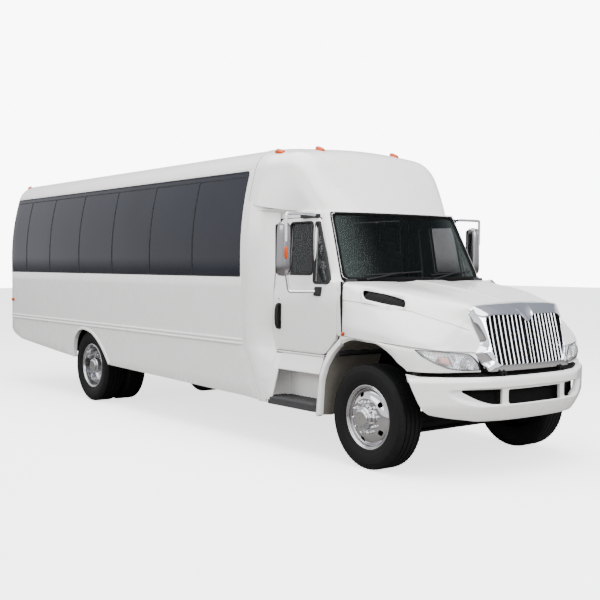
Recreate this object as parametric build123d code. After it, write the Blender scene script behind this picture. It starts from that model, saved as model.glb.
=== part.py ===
from build123d import *
import math
import os

# Shuttle bus on a bonneted medium truck chassis.  Millimetres, X forward, Y left, Z up.
# Everything is drawn with the front axle at x = 0; parts are written with the origin
# moved to the middle of the bus's footprint.

# ---------------------------------------------------------------- driving dimensions
WHEELBASE = 5625.0
NOSE_X = 1050.0            # face of the front bumper
TAIL_X = -8480.0           # face of the rear bumper
BODY_REAR_X = -8400.0
BODY_FRONT_X = -1860.0     # seam between the passenger body and the front cap
CAB_REAR_X = -1481.0
FRONT_AXLE_X = (NOSE_X - TAIL_X) / 2 - NOSE_X

HALF_WIDTH = 1219.0        # body half width
WALL = 50.0                # body wall, skin to lining
SKIRT = 25.0               # wall below the floor
SIDE_BEND_Z = 1950.0       # the side is upright below this height
SIDE_RADIUS = 3240.0
SIDE_ANGLE = 16.7          # turn of the side's upper arc, degrees
CORNER_RADIUS = 308.0
ROOF_SLOPE = 7.13          # slope of the roof where it meets the corner arc, degrees
ROOF_JOINT_Z = 2885.0      # side wall below, roof above
FLOOR_Z = 1010.0
FLOOR_THICK = 40.0

TYRE_RADIUS = 482.0
TYRE_WIDTH = 276.0
RIM_SEAT = 286.0
RIM_FLANGE = 298.5
FRONT_TYRE_Y = 1000.0
REAR_TYRE_Y = (700.0, 1030.0)
KINGPIN_Y = 880.0
RAIL_Y = 400.0             # centre of a frame rail

PANE_Z = (1743.0, 2870.0)
PANE_SEAMS_X = (-1914.0, -2896.0, -3887.0, -4886.0, -5882.0, -6867.0, -7733.0, -8345.0)
POST = 60.0                # window post width
BAND_DEPTH = 10.0          # recess of the glass band
GLASS = 8.0

GAP = 8.0                  # round hinged doors
ENTRANCE_X = (-2850.0, -2000.0)
ENTRANCE_Z = (480.0, 2410.0)
REAR_DOOR_HALF = 460.0
REAR_DOOR_Z = (1020.0, 2550.0)
HOOD_PIVOT = (985.0, 935.0)
HINGE_PIN = 8.0


# ---------------------------------------------------------------- small makers
def block(x0, x1, y0, y1, z0, z1):
    """Box between two corners."""
    centre = ((x0 + x1) / 2, (y0 + y1) / 2, (z0 + z1) / 2)
    return Pos(*centre) * Box(x1 - x0, y1 - y0, z1 - z0)


def prism_x(outline_yz, x0, x1):
    """Outline in the Y-Z plane carried from x0 to x1."""
    face = make_face(Polyline(*[(x0, y, z) for y, z in outline_yz], close=True))
    return extrude(face, amount=x1 - x0, dir=(1, 0, 0))


def prism_y(outline_xz, y0, y1):
    """Outline in the X-Z plane carried from y0 to y1."""
    face = make_face(Polyline(*[(x, y0, z) for x, z in outline_xz], close=True))
    return extrude(face, amount=y1 - y0, dir=(0, 1, 0))


def prism_z(outline_xy, z0, z1):
    """Outline in the X-Y plane carried from z0 to z1."""
    face = make_face(Polyline(*[(x, y, z0) for x, y in outline_xy], close=True))
    return extrude(face, amount=z1 - z0, dir=(0, 0, 1))


def rod_y(x, z, radius, y0, y1):
    """Round bar along Y."""
    return Pos(x, (y0 + y1) / 2, z) * Rot(90, 0, 0) * Cylinder(radius, y1 - y0)


def rod_x(y, z, radius, x0, x1):
    """Round bar along X."""
    return Pos((x0 + x1) / 2, y, z) * Rot(0, 90, 0) * Cylinder(radius, x1 - x0)


def rod_z(x, y, radius, z0, z1):
    """Round bar along Z."""
    return Pos(x, y, (z0 + z1) / 2) * Cylinder(radius, z1 - z0)


def tube_path(points, radius, bend):
    """Round bar along a bent path."""
    path = FilletPolyline(*points, radius=bend)
    return sweep(Plane(path @ 0, z_dir=path % 0) * Circle(radius), path=path)


def other_side(shape):
    """The same shape on the other side of the bus."""
    return mirror(shape, about=Plane.XZ)


def both_sides(shape):
    """The shape and its mirror image."""
    return Compound(children=[*solids_of(shape), *solids_of(other_side(shape))])


def solids_of(shape):
    """List of the solids in a shape."""
    return list(shape.solids())


def grown(outline, amount):
    """Outline with every side moved outwards by an amount."""
    count = len(outline)
    area = sum(outline[i - 1][0] * outline[i][1] - outline[i][0] * outline[i - 1][1]
               for i in range(count))
    turn = math.copysign(1, area)
    result = []
    for i in range(count):
        (ax, ay), (bx, by), (cx, cy) = outline[i - 1], outline[i], outline[(i + 1) % count]
        u = Vector(bx - ax, by - ay).normalized()
        v = Vector(cx - bx, cy - by).normalized()
        reach = amount * turn / (1 + u.X * v.X + u.Y * v.Y)
        result.append((bx + reach * (u.Y + v.Y), by - reach * (u.X + v.X)))
    return result


def save(name, shape):
    """Write one piece, moved from the front axle's frame to the footprint's."""
    moved = Pos(FRONT_AXLE_X, 0, 0) * Compound(children=solids_of(shape))
    solids = solids_of(moved)
    export_step(solids[0] if len(solids) == 1 else Compound(children=solids),
                f"parts/{name}.step")


# ---------------------------------------------------------------- passenger body
def body_section(inset, x):
    """Body outline across the bus, moved inwards by inset; the foot is at z = 300."""
    a1 = math.radians(SIDE_ANGLE)
    a2 = math.radians(90 - ROOF_SLOPE)
    c1 = (HALF_WIDTH - SIDE_RADIUS, SIDE_BEND_Z)
    r1 = SIDE_RADIUS
    r2 = CORNER_RADIUS
    c2 = (c1[0] + (r1 - r2) * math.cos(a1), c1[1] + (r1 - r2) * math.sin(a1))
    edge_y = c2[0] + r2 * math.cos(a2)
    r3 = edge_y / math.cos(a2)
    c3 = (0.0, c2[1] + r2 * math.sin(a2) - r3 * math.sin(a2))

    def on(centre, radius, angle):
        return (centre[0] + (radius - inset) * math.cos(angle),
                centre[1] + (radius - inset) * math.sin(angle))

    half = [on(c1, r1, 0), on(c1, r1, a1 / 2), on(c1, r1, a1),
            on(c2, r2, (a1 + a2) / 2), on(c2, r2, a2)]
    crown = on(c3, r3, math.pi / 2)
    left = [(x, y, z) for y, z in half]
    right = [(x, -y, z) for y, z in half]
    foot_left = (x, HALF_WIDTH - inset, 300.0)
    foot_right = (x, -HALF_WIDTH + inset, 300.0)
    edges = [Line(foot_left, left[0]),
             ThreePointArc(left[0], left[1], left[2]),
             ThreePointArc(left[2], left[3], left[4]),
             ThreePointArc(left[4], (x, crown[0], crown[1]), right[4]),
             ThreePointArc(right[4], right[3], right[2]),
             ThreePointArc(right[2], right[1], right[0]),
             Line(right[0], foot_right),
             Line(foot_right, foot_left)]
    return make_face(Curve() + edges)


def body_prism(inset, x0, x1):
    """Solid of the body's section between two stations."""
    return extrude(body_section(inset, x0), amount=x1 - x0, dir=(1, 0, 0))


SKIRT_FOOT = [(-1800, 488), (-5000, 552), (-5990, 574), (-7940, 709), (-8300, 810), (-8400, 905)]
ARCH = [(-4975, 500), (-5230, 793), (-5700, 975), (-5940, 915), (-6060, 740), (-6000, 480)]


def passenger_body():
    """Walls, roof and rear panel, split where the real panels meet."""
    outer = body_prism(0, BODY_REAR_X, BODY_FRONT_X)
    corner_edges = outer.faces().sort_by(Axis.X)[0].edges().sort_by(Axis.Z)[1:]
    outer = fillet(corner_edges, 90)
    inner = body_prism(WALL, BODY_REAR_X + WALL, BODY_FRONT_X + 100)
    shell = outer - inner
    below_foot = [(BODY_FRONT_X + 50, 200), *SKIRT_FOOT, (-8500, 905), (-8500, 200)]
    shell -= prism_y(below_foot, -1400, 1400)
    skirt_inside = block(BODY_REAR_X + WALL, BODY_FRONT_X + 100, -HALF_WIDTH + SKIRT,
                         HALF_WIDTH - SKIRT, 200, FLOOR_Z - FLOOR_THICK)
    shell -= skirt_inside
    shell -= prism_y(ARCH, -1400, 1400)
    return shell


def glass_band(x0, x1, depth0, depth1, low, high):
    """Slab that follows the side between two depths below the skin, right side."""
    slab = body_prism(depth0, x0, x1) - body_prism(depth1, x0 - 1, x1 + 1)
    return slab & block(x0, x1, -1400, -900, low, high)


shell = passenger_body()
seams = PANE_SEAMS_X
band = glass_band(seams[-1], seams[0], -5, BAND_DEPTH, *PANE_Z)
right_panes = []
right_holes = []
for front_x, rear_x in zip(seams, seams[1:]):
    right_panes.append(glass_band(rear_x + 3, front_x - 3, 0, GLASS, PANE_Z[0] + 3, PANE_Z[1] - 3))
    right_holes.append(block(rear_x + POST / 2, front_x - POST / 2, -1400, -900,
                             PANE_Z[0] + 45, PANE_Z[1] - 60))

right_side_wall = shell & block(BODY_REAR_X + WALL, BODY_FRONT_X, -1400, -900, 300, ROOF_JOINT_Z)
left_side_wall = other_side(right_side_wall)
right_side_wall -= band
for hole in right_holes:
    right_side_wall -= hole

# The first bay on the left holds the entrance.
left_band = other_side(glass_band(seams[-1], seams[1] - 30, -5, BAND_DEPTH, *PANE_Z))
left_side_wall -= left_band
for hole in right_holes[1:]:
    left_side_wall -= other_side(hole) & block(seams[-1], seams[1] - 60, 900, 1400, 1500, 2900)
left_side_wall -= block(*ENTRANCE_X, 1000, 1400, 300, ENTRANCE_Z[1])
left_panes = [other_side(pane) for pane in right_panes[1:]]
left_panes[0] = left_panes[0] & block(seams[2], seams[1] - 33, 900, 1400, 1500, 2900)

passenger_roof = shell & block(BODY_REAR_X + WALL, BODY_FRONT_X, -1400, 1400, ROOF_JOINT_Z, 3200)
rear_wall = shell & block(BODY_REAR_X - 10, BODY_REAR_X + WALL, -1400, 1400, 300, 3200)
rear_hole = prism_x([(-REAR_DOOR_HALF - GAP, REAR_DOOR_Z[0] - GAP),
                     (REAR_DOOR_HALF + GAP, REAR_DOOR_Z[0] - GAP),
                     (REAR_DOOR_HALF + GAP, REAR_DOOR_Z[1] + GAP),
                     (-REAR_DOOR_HALF - GAP, REAR_DOOR_Z[1] + GAP)],
                    BODY_REAR_X - 50, BODY_REAR_X + WALL + 50)
rear_wall -= rear_hole

rear_door = block(BODY_REAR_X, BODY_REAR_X + WALL - 4, -REAR_DOOR_HALF, REAR_DOOR_HALF, *REAR_DOOR_Z)
rear_window = block(BODY_REAR_X - 1, BODY_REAR_X + WALL, -350, 350, 1800, 2430)
rear_door -= rear_window
rear_door_glass = block(BODY_REAR_X + 10, BODY_REAR_X + 10 + GLASS, -349, 349, 1801, 2429)

# Passenger floor with boxes over the rear wheels and the entrance's steps.
floor_y = HALF_WIDTH - WALL - 1
passenger_floor = block(BODY_REAR_X + WALL + 1, CAB_REAR_X - 60, -1060, 1060,
                        FLOOR_Z - FLOOR_THICK, FLOOR_Z)
passenger_floor += block(BODY_REAR_X + WALL + 1, BODY_FRONT_X - 1, -floor_y, floor_y,
                         FLOOR_Z - FLOOR_THICK, FLOOR_Z)
for side in (-1, 1):
    y0, y1 = sorted((side * 540, side * (floor_y)))
    passenger_floor += block(-6180, -5070, y0, y1, FLOOR_Z - FLOOR_THICK, 1110)
    y0, y1 = sorted((side * 560, side * 1400))
    passenger_floor -= block(-6160, -5090, y0, y1, 900, 1090)
STEP_INNER_Y = 600.0
STEPS = [(480, 1160, 900), (660, 900, 750), (840, 750, STEP_INNER_Y)]   # height, outer, inner
passenger_floor -= block(ENTRANCE_X[0] + 10, ENTRANCE_X[1] - 10, STEP_INNER_Y, 1300, 300, 1200)
for height, outer_y, inner_y in STEPS:
    passenger_floor += block(ENTRANCE_X[0] - 10, ENTRANCE_X[1] + 10, inner_y - 20, outer_y,
                             height, height + 20)
    passenger_floor += block(ENTRANCE_X[0] - 10, ENTRANCE_X[1] + 10, inner_y - 20, inner_y,
                             height, min(height + 200, FLOOR_Z))
for x in (ENTRANCE_X[0] - 10, ENTRANCE_X[1] - 10):
    passenger_floor += block(x, x + 20, STEP_INNER_Y - 20, 1160, 480, FLOOR_Z)
passenger_floor -= block(ENTRANCE_X[0] - 12, ENTRANCE_X[1] + 12, 1160, 1300, 300, 1200)

# Entrance: two flat leaves, hinged at the outer ends of the opening.
LEAF_Y = (1172.0, 1215.0)
LEAF_Z = (512.0, ENTRANCE_Z[1] - GAP)
middle_x = (ENTRANCE_X[0] + ENTRANCE_X[1]) / 2


def entrance_leaf(x0, x1):
    """Leaf frame and its glass between two stations."""
    frame = block(x0, x1, *LEAF_Y, *LEAF_Z)
    frame -= block(x0 + 55, x1 - 55, 1100, 1300, LEAF_Z[0] + 90, LEAF_Z[1] - 90)
    glass = block(x0 + 56, x1 - 56, LEAF_Y[0] + 18, LEAF_Y[0] + 18 + GLASS, LEAF_Z[0] + 91,
                  LEAF_Z[1] - 91)
    return frame, glass


entrance_rear_leaf, entrance_rear_glass = entrance_leaf(ENTRANCE_X[0] + 6, middle_x - 6)
entrance_front_leaf, entrance_front_glass = entrance_leaf(middle_x + 6, ENTRANCE_X[1] - 6)


# ---------------------------------------------------------------- front cap
def front_cap():
    """Fairing between body and cab with the cap over the cab."""
    def cap_solid(inset):
        lump = body_prism(inset, BODY_FRONT_X + (0 if inset == 0 else -1), -700)
        floor_z = 2416 + inset
        d = inset * 1.2
        lump &= prism_y([(BODY_FRONT_X - 1, floor_z), (-800 - d, floor_z), (-1290 - d, 3070 - inset),
                         (-1420 - d, 3200), (BODY_FRONT_X - 1, 3200)], -1400, 1400)
        lump &= prism_z([(BODY_FRONT_X - 1, -HALF_WIDTH - 20 + inset), (-1600, -1150 + inset),
                         (-886 - d, -874 + inset), (-800 - d, -500), (-770 - d, 0), (-800 - d, 500),
                         (-886 - d, 874 - inset), (-1600, 1150 - inset),
                         (BODY_FRONT_X - 1, HALF_WIDTH + 20 - inset)], 2000, 3300)
        return lump

    cap = cap_solid(0) - cap_solid(40)
    cap -= block(BODY_FRONT_X - 5, CAB_REAR_X, -1070, 1070, 2400, 2470)
    upper = [(-1860, 1219), (-1740, 1213), (-1600, 1165), (CAB_REAR_X, 1108),
             (CAB_REAR_X, 1068), (-1600, 1122), (-1740, 1170), (-1860, 1169)]
    top = [(-1860, 1177), (-1740, 1160), (-1600, 1100), (CAB_REAR_X, 1010),
           (CAB_REAR_X, 970), (-1600, 1058), (-1740, 1118), (-1860, 1127)]
    lower = [(-1860, 1219), (-1740, 1219), (-1560, 1217), (-1420, 1212),
             (-1420, 1180), (-1560, 1185), (-1740, 1190), (-1860, 1190)]

    def ring(points, z):
        return make_face(Polyline(*[(x, y, z) for x, y in points], close=True))

    side = loft([ring(lower, 480), ring(upper, 976)], ruled=True)
    side += loft([ring(upper, 976), ring(upper, 1900)], ruled=True)
    side += loft([ring(upper, 1900), ring(top, 2460)], ruled=True)
    cap += side
    cap += other_side(side)
    return cap


cap = front_cap()


# ---------------------------------------------------------------- cab
def cab_solid(inset, ahead):
    """Cab envelope: four plan sections; inset narrows it and ahead moves its front."""
    rear = CAB_REAR_X - (60 if inset else 0)
    # height, middle, 500 out, screen corner x and y, side corner x and y, rear half width
    table = [(980, -455, -455, -455, 900, -455, 1100, 1100),
             (1640, -392, -425, -455, 900, -455, 1085, 1085),
             (1735, -388, -430, -578, 947, -545, 1070, 1078),
             (2410, -752, -782, -855, 850, -835, 985, 992)]
    faces = []
    for z, mid, half, cx, cy, sx, sy, rear_y in table:
        side_y = sy - inset
        pts = [(mid + ahead, 0), (half + ahead, 500), (cx + ahead, cy - inset), (sx + ahead, side_y),
               (rear, rear_y - inset)]
        ring = pts + [(x, -y) for x, y in reversed(pts) if y > 0]
        height = z
        if inset and z == 980:
            height = z + inset
        if inset and z == 2410:
            height = z - inset
        faces.append(make_face(Polyline(*[(x, y, height) for x, y in ring], close=True)))
    solid = loft(faces[:2], ruled=True)
    solid += loft(faces[1:3], ruled=True)
    solid += loft(faces[2:], ruled=True)
    return solid


DOOR_OUTLINE = [(-463, 1215), (-463, 1640), (-566, 1722), (-812, 2342), (-1475, 2342),
                (-1475, 1040), (-1455, 1008), (-640, 1008), (-475, 1165)]
MAIN_GLASS = [(-880, 1770), (-880, 2300), (-1262, 2300), (-1262, 1770)]
VENT_GLASS = [(-616, 1735), (-846, 2295), (-858, 1735)]


def door_wedge(back):
    """Space whose rear face leans forward towards the cab's middle."""
    return prism_z([(-1540 - back, 1300), (-1308 - back, 600), (0, 600), (0, 1300)], 900, 2600)


def door_space(amount):
    """Room that the right-handed outline of a door takes in the cab's side."""
    outline = grown(DOOR_OUTLINE, amount) if amount else DOOR_OUTLINE
    inner = [(1040, 900), (1040, 980), (1025, 1640), (1018, 1735), (932, 2410), (932, 2500)]
    slab = prism_x([(y - amount, z) for y, z in inner] + [(1300, 2500), (1300, 900)], -1700, -300)
    return prism_y(outline, 700, 1250) & door_wedge(amount * 1.05) & slab


cab_outer = cab_solid(0, 0)
cab_inner = cab_solid(45, -42)
cab_shell = cab_outer - cab_inner
left_door = cab_outer & door_space(0)
left_glass_skin = cab_solid(20, 0) - cab_solid(20 + GLASS, 0)
glass_space = prism_y(MAIN_GLASS, 700, 1300) + prism_y(VENT_GLASS, 700, 1300)
left_door -= glass_space
left_glass = left_glass_skin & (prism_y(grown(MAIN_GLASS, -1), 700, 1300)
                                + prism_y(grown(VENT_GLASS, -1), 700, 1300))
cab_shell -= door_space(GAP)
cab_shell -= other_side(door_space(GAP))
SCREEN = [(938, 1748), (846, 2384), (-846, 2384), (-938, 1748)]
cab_shell -= prism_x(SCREEN, -1000, -200)
screen_skin = cab_solid(0, -4) - cab_solid(0, -4 - 9)
windshield = screen_skin & prism_x(grown(SCREEN, -2), -1000, -200)


def mirror_set():
    """Left mirror: head, tube frame and feet, all joined."""
    head = prism_y([(-1060, 1840), (-1040, 1810), (-900, 1810), (-880, 1840), (-880, 2250),
                    (-900, 2285), (-1040, 2285), (-1060, 2250)], 1290, 1420)
    tube = tube_path([(-905, 1012, 2312), (-905, 1065, 2366), (-905, 1355, 2366), (-905, 1355, 2250)],
                     14, 20)
    low = tube_path([(-852, 1070, 1617), (-943, 1350, 1617), (-960, 1350, 1830)], 14, 40)
    foot = block(-890, -820, 1062, 1105, 1580, 1650)
    top_foot = block(-1060, -840, 990, 1035, 2296, 2336)
    return head + tube + low + foot + top_foot


left_mirror = mirror_set() - cab_outer


def cab_step():
    """Step under a cab door: tread, recess and the edge beside the wheel."""
    tread = block(-1415, -645, 930, 1215, 455, 500)
    back = block(-1415, -612, 905, 930, 455, 978)
    upper = prism_x([(930, 840), (1150, 820), (1100, 978), (930, 978)], -1400, -612)
    front = block(-640, -612, 930, 1190, 440, 978)
    rear = prism_y([(-1415, 500), (-1395, 500), (-1340, 978), (-1400, 978)], 930, 1150)
    return tread + back + upper + front + rear


step = cab_step()

dashboard = prism_y([(-520, 1400), (-520, 1700), (-700, 1730), (-850, 1660), (-860, 1450),
                     (-760, 1330)], -960, 960) & cab_solid(60, -60)
steering_wheel = (Pos(-1020, -450, 1640) * Rot(0, -35, 0) * Torus(225, 16)
                  + Pos(-1020, -450, 1640) * Rot(0, -35, 0) * Cylinder(60, 40)
                  + Pos(-1020, -450, 1640) * Rot(0, -35, 0) * Box(30, 430, 16)
                  + Pos(-1020, -450, 1640) * Rot(0, -35, 0) * Pos(0, 0, -95) * Cylinder(24, 160))

# ---------------------------------------------------------------- hood, grille and lamps
# station x, then half outline: top middle, ridge, shoulder, upper flank, flank, lip, foot
HOOD_TABLE = [
    (-447, (0, 1704), (560, 1706), (930, 1690), (1020, 1590), (1075, 1430), (1110, 1300), (1120, 945)),
    (60, (0, 1672), (520, 1672), (880, 1625), (975, 1520), (1090, 1390), (1160, 1240), (1170, 945)),
    (420, (0, 1620), (450, 1618), (760, 1560), (930, 1460), (1060, 1340), (1150, 1180), (1160, 945)),
    (640, (0, 1580), (400, 1578), (660, 1510), (800, 1380), (960, 1290), (1080, 1130), (1090, 945)),
    (770, (0, 1550), (350, 1546), (600, 1500), (650, 1350), (760, 1200), (930, 1090), (950, 945))]


def hood_solid(inset):
    """Hood and fender envelope as a ruled loft."""
    faces = []
    for x, *half in HOOD_TABLE:
        pts = []
        for y, z in half:
            inner_y = max(y - inset, 0)
            inner_z = z - inset if z > 950 else z - (60 if inset else 0)
            pts.append((x, inner_y, inner_z))
        ring = pts + [(px, -py, pz) for px, py, pz in reversed(pts) if py > 0]
        faces.append(make_face(Polyline(*ring, close=True)))
    solid = loft(faces[:2], ruled=True)
    for a, b in zip(faces[1:], faces[2:]):
        solid += loft([a, b], ruled=True)
    return solid


def front_body(shift, half_width):
    """Nose envelope: plan arcs at foot and top, joined by a ruled surface."""
    faces = []
    for z, mid_x, side_x in ((930, 975, 920), (1570, 826, 755)):
        arc = ThreePointArc((side_x - shift, -half_width, z), (mid_x - shift, 0, z),
                            (side_x - shift, half_width, z))
        lines = [Line((side_x - shift, half_width, z), (400, half_width, z)),
                 Line((400, half_width, z), (400, -half_width, z)),
                 Line((400, -half_width, z), (side_x - shift, -half_width, z))]
        faces.append(make_face(Curve() + [arc, *lines]))
    return loft(faces, ruled=True)


SURROUND = [(0, 1545), (380, 1540), (580, 1515), (612, 1480), (585, 1216), (563, 958),
            (-563, 958), (-585, 1216), (-612, 1480), (-580, 1515), (-380, 1540)]
GRILLE = [(0, 1425), (440, 1425), (485, 1395), (495, 1211), (430, 1005), (-430, 1005),
          (-495, 1211), (-485, 1395), (-440, 1425)]
LAMP = [(590, 955), (700, 1105), (860, 1130), (1080, 1130), (1000, 1040), (860, 970)]

hood_outer = hood_solid(0)
hood = hood_outer - hood_solid(22)
hood -= block(-2000, 2000, -2000, 2000, 800, 946)
arch_cut = Pos(-50, 0, 600) * Rot(90, 0, 0) * Cylinder(592, 3000)
hood -= arch_cut & (block(-2000, 2000, 560, 1500, 0, 1300) + block(-2000, 2000, -1500, -560, 0, 1300))
hood -= cab_solid(0, 10)
surround_space = prism_x(SURROUND, 500, 1100)
hood -= block(720, 1200, -600, 600, 900, 1600)
nose = front_body(0, 640) - front_body(75, 640)
grille_surround = (nose & surround_space) - prism_x(GRILLE, 400, 1200)
hood -= front_body(-40, 640) & prism_x(grown(SURROUND, 1), 640, 1100)
for side in (-1, 1):
    y = side * RAIL_Y
    lug = prism_y([(925, 957), (925, 980), (965, 980), (1000, 948), (1000, 922), (972, 922), (955, 957)],
                  y - 10, y + 10)
    grille_surround += lug - rod_y(*HOOD_PIVOT, HINGE_PIN + 0.5, y - 20, y + 20)
lamp_space = prism_x(LAMP, 560, 1000) + prism_x([(-y, z) for y, z in LAMP], 560, 1000)
headlights = (hood_outer - hood_solid(60)) & lamp_space
hood -= prism_x(grown(LAMP, 3), 560, 1000) + prism_x(grown([(-y, z) for y, z in LAMP], 3), 560, 1000)

bars = []
BAR_COUNT = 10
for index in range(BAR_COUNT):
    y = 40 + index * 44
    lean = (y - 40) * 0.12
    for side in (-1, 1):
        outline = [(side * (y - 9 - lean), 985), (side * (y + 9 - lean), 985),
                   (side * (y + 9), 1440), (side * (y - 9), 1440)]
        bars.append(prism_x(outline, 500, 1100))
bar_zone = front_body(12, 640) - front_body(52, 640)
grille_space = prism_x(grown(GRILLE, -1), 400, 1200)
grille_bars = bars[0]
for bar in bars[1:]:
    grille_bars += bar
for z in (1012, 1405):
    grille_bars += block(400, 1100, -500, 500, z, z + 14)
grille_bars = grille_bars & bar_zone & grille_space


# ---------------------------------------------------------------- bumpers and lamps
def bumper_face(inset, z):
    """Plan of the bumper's front, moved back by inset."""
    tip = (620 - inset, 1219 - inset * 0.6)
    knee = (1020 - inset, 458 - inset * 0.2)
    side = (868 - inset, 830 - inset * 0.4)
    arcs = [ThreePointArc((knee[0], -knee[1], z), (1050 - inset, 0, z), (knee[0], knee[1], z)),
            ThreePointArc((knee[0], knee[1], z), (side[0], side[1], z), (tip[0], tip[1], z)),
            Line((tip[0], tip[1], z), (300, tip[1], z)),
            Line((300, tip[1], z), (300, -tip[1], z)),
            Line((300, -tip[1], z), (tip[0], -tip[1], z)),
            ThreePointArc((tip[0], -tip[1], z), (side[0], -side[1], z), (knee[0], -knee[1], z))]
    return make_face(Curve() + arcs)


def bumper_solid(inset):
    """Bumper envelope from its foot to its top."""
    return extrude(bumper_face(inset, 500), amount=400, dir=(0, 0, 1))


front_bumper = bumper_solid(0) - bumper_solid(45)
front_bumper &= prism_y([(625, 900), (672, 545), (760, 500), (1200, 500), (1200, 900)], -1400, 1400)
front_bumper -= prism_x([(-330, 673), (330, 673), (330, 785), (-330, 785)], 900, 1200)
for side in (-1, 1):
    crescent = [(458, 795), (458, 680), (560, 675), (700, 705), (817, 790)]
    front_bumper -= prism_x([(side * y, z) for y, z in crescent], 700, 1200)

rear_bumper = block(TAIL_X, TAIL_X + 60, -950, 950, 730, 880)
for side in (-1, 1):
    y = side * RAIL_Y
    rear_bumper += block(TAIL_X + 60, -8351, y - 25, y + 25, 740, 845)
PLATE_HOLE_Y = 89.0
for y in (-PLATE_HOLE_Y, PLATE_HOLE_Y):
    rear_bumper -= rod_x(y, 805, 3.5, TAIL_X - 5, TAIL_X + 70)

lamp_rods = []
for side in (-1, 1):
    for z in (1180, 1300, 1420):
        lamp_rods += solids_of(rod_x(side * 1010, z, 50, BODY_REAR_X - 22, BODY_REAR_X - 0.5))
tail_lamps = Compound(children=lamp_rods)

lamp_spots = [(-1640, 880), (-1440, 500)]
marker = []
for x, y in lamp_spots:
    for side in (-1, 1):
        roof_z = 3148 - y * y / 13300
        marker.append(block(x - 45, x + 45, side * y - 30, side * y + 30, roof_z - 4, roof_z + 30))
for side in (-1, 1):
    marker.append(block(-8340, -8290, side * 900 - 30, side * 900 + 30, 3060, 3110))
marker_solids = []
body_whole = body_prism(0, BODY_REAR_X, -1200)
for lamp in marker:
    marker_solids += solids_of(lamp - cap - shell - body_whole)
marker_lamps = Compound(children=marker_solids)


# ---------------------------------------------------------------- wheels
def tyre(y_centre):
    """Tyre turned about Y, on the wheel's own axle line."""
    w = TYRE_WIDTH / 2
    profile = [(RIM_SEAT + 0.5, -w * 0.68), (RIM_SEAT + 30, -w * 0.8), (390, -w), (450, -w * 0.9),
               (TYRE_RADIUS - 6, -w * 0.72), (TYRE_RADIUS, -w * 0.5), (TYRE_RADIUS, w * 0.5),
               (TYRE_RADIUS - 6, w * 0.72), (450, w * 0.9), (390, w), (RIM_SEAT + 30, w * 0.8),
               (RIM_SEAT + 0.5, w * 0.68)]
    face = make_face(Polyline(*[(r, y_centre + y, 0) for r, y in profile], close=True))
    return revolve(face, axis=Axis.Y)


def rim(y_centre, disc_y, edge_y):
    """Wheel: flanged barrel and a disc, with hand holes, that meets the barrel at edge_y."""
    w = TYRE_WIDTH / 2 * 0.68 - 1
    profile = [(RIM_SEAT - 14, -w - 16), (RIM_FLANGE - 2, -w - 16), (RIM_FLANGE - 2, -w - 8),
               (RIM_SEAT - 0.5, -w - 2), (RIM_SEAT - 0.5, w + 2), (RIM_FLANGE - 2, w + 8),
               (RIM_FLANGE - 2, w + 16), (RIM_SEAT - 14, w + 16)]
    barrel = revolve(make_face(Polyline(*[(r, y_centre + y, 0) for r, y in profile], close=True)),
                     axis=Axis.Y)
    plate = [(66, disc_y - 12), (66, disc_y + 12), (180, disc_y + 12), (RIM_SEAT - 10, edge_y + 12),
             (RIM_SEAT - 10, edge_y - 12), (180, disc_y - 12)]
    disc = revolve(make_face(Polyline(*[(r, y, 0) for r, y in plate], close=True)), axis=Axis.Y)
    for index in range(10):
        angle = math.radians(36 * index)
        hole = Pos(222 * math.cos(angle), disc_y, 222 * math.sin(angle))
        disc -= hole * Rot(90, 0, 0) * Cylinder(22, 300)
    return barrel + disc


front_tyre = tyre(FRONT_TYRE_Y)
front_rim = rim(FRONT_TYRE_Y, 1085, 1050)
front_rim += rod_y(0, 0, 105, 1074, 1150) - rod_y(0, 0, 66, 1060, 1112)
rear_tyres = Compound(children=[*solids_of(tyre(REAR_TYRE_Y[0])), *solids_of(tyre(REAR_TYRE_Y[1]))])
rear_rim = rim(REAR_TYRE_Y[1], 877, 945) + rim(REAR_TYRE_Y[0], 853, 785)
rear_rim += rod_y(0, 0, 110, 842, 1080) - rod_y(0, 0, 66, 800, 1045)


def knuckle():
    """Left steering knuckle: kingpin, fork and spindle."""
    body = block(-45, 45, KINGPIN_Y + 50, KINGPIN_Y + 75, TYRE_RADIUS - 85, TYRE_RADIUS + 85)
    for z in (TYRE_RADIUS - 85, TYRE_RADIUS + 55):
        body += block(-45, 45, KINGPIN_Y - 35, KINGPIN_Y + 75, z, z + 30)
    body += rod_z(0, KINGPIN_Y, 20, TYRE_RADIUS - 90, TYRE_RADIUS + 95)
    body += rod_y(0, TYRE_RADIUS, 60, KINGPIN_Y + 75, 1105)
    body += rod_y(0, TYRE_RADIUS, 150, KINGPIN_Y + 78, KINGPIN_Y + 150)
    return body


front_axle_beam = prism_x([(-760, 400), (760, 400), (840, 450), (840, 520), (780, 520), (700, 470),
                           (-700, 470), (-780, 520), (-840, 520), (-840, 450)], -45, 45)
for side in (-1, 1):
    eye = rod_z(0, side * KINGPIN_Y, 42, TYRE_RADIUS - 45, TYRE_RADIUS + 45)
    front_axle_beam += eye
    front_axle_beam -= rod_z(0, side * KINGPIN_Y, 20.5, 300, 700)
    front_axle_beam -= block(-60, 60, *sorted((side * (KINGPIN_Y - 60), side * 1000)),
                             TYRE_RADIUS + 45, 700)
    front_axle_beam -= block(-60, 60, *sorted((side * (KINGPIN_Y - 60), side * 1000)),
                             300, TYRE_RADIUS - 45)

rear_axle = rod_y(-WHEELBASE, TYRE_RADIUS, 65, -830, 830)
rear_axle += rod_y(-WHEELBASE, TYRE_RADIUS, 60, -1035, 1035)
rear_axle += Pos(-WHEELBASE, 0, TYRE_RADIUS) * Sphere(188)
rear_axle += rod_x(0, TYRE_RADIUS, 80, -WHEELBASE, -WHEELBASE + 330)

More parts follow.
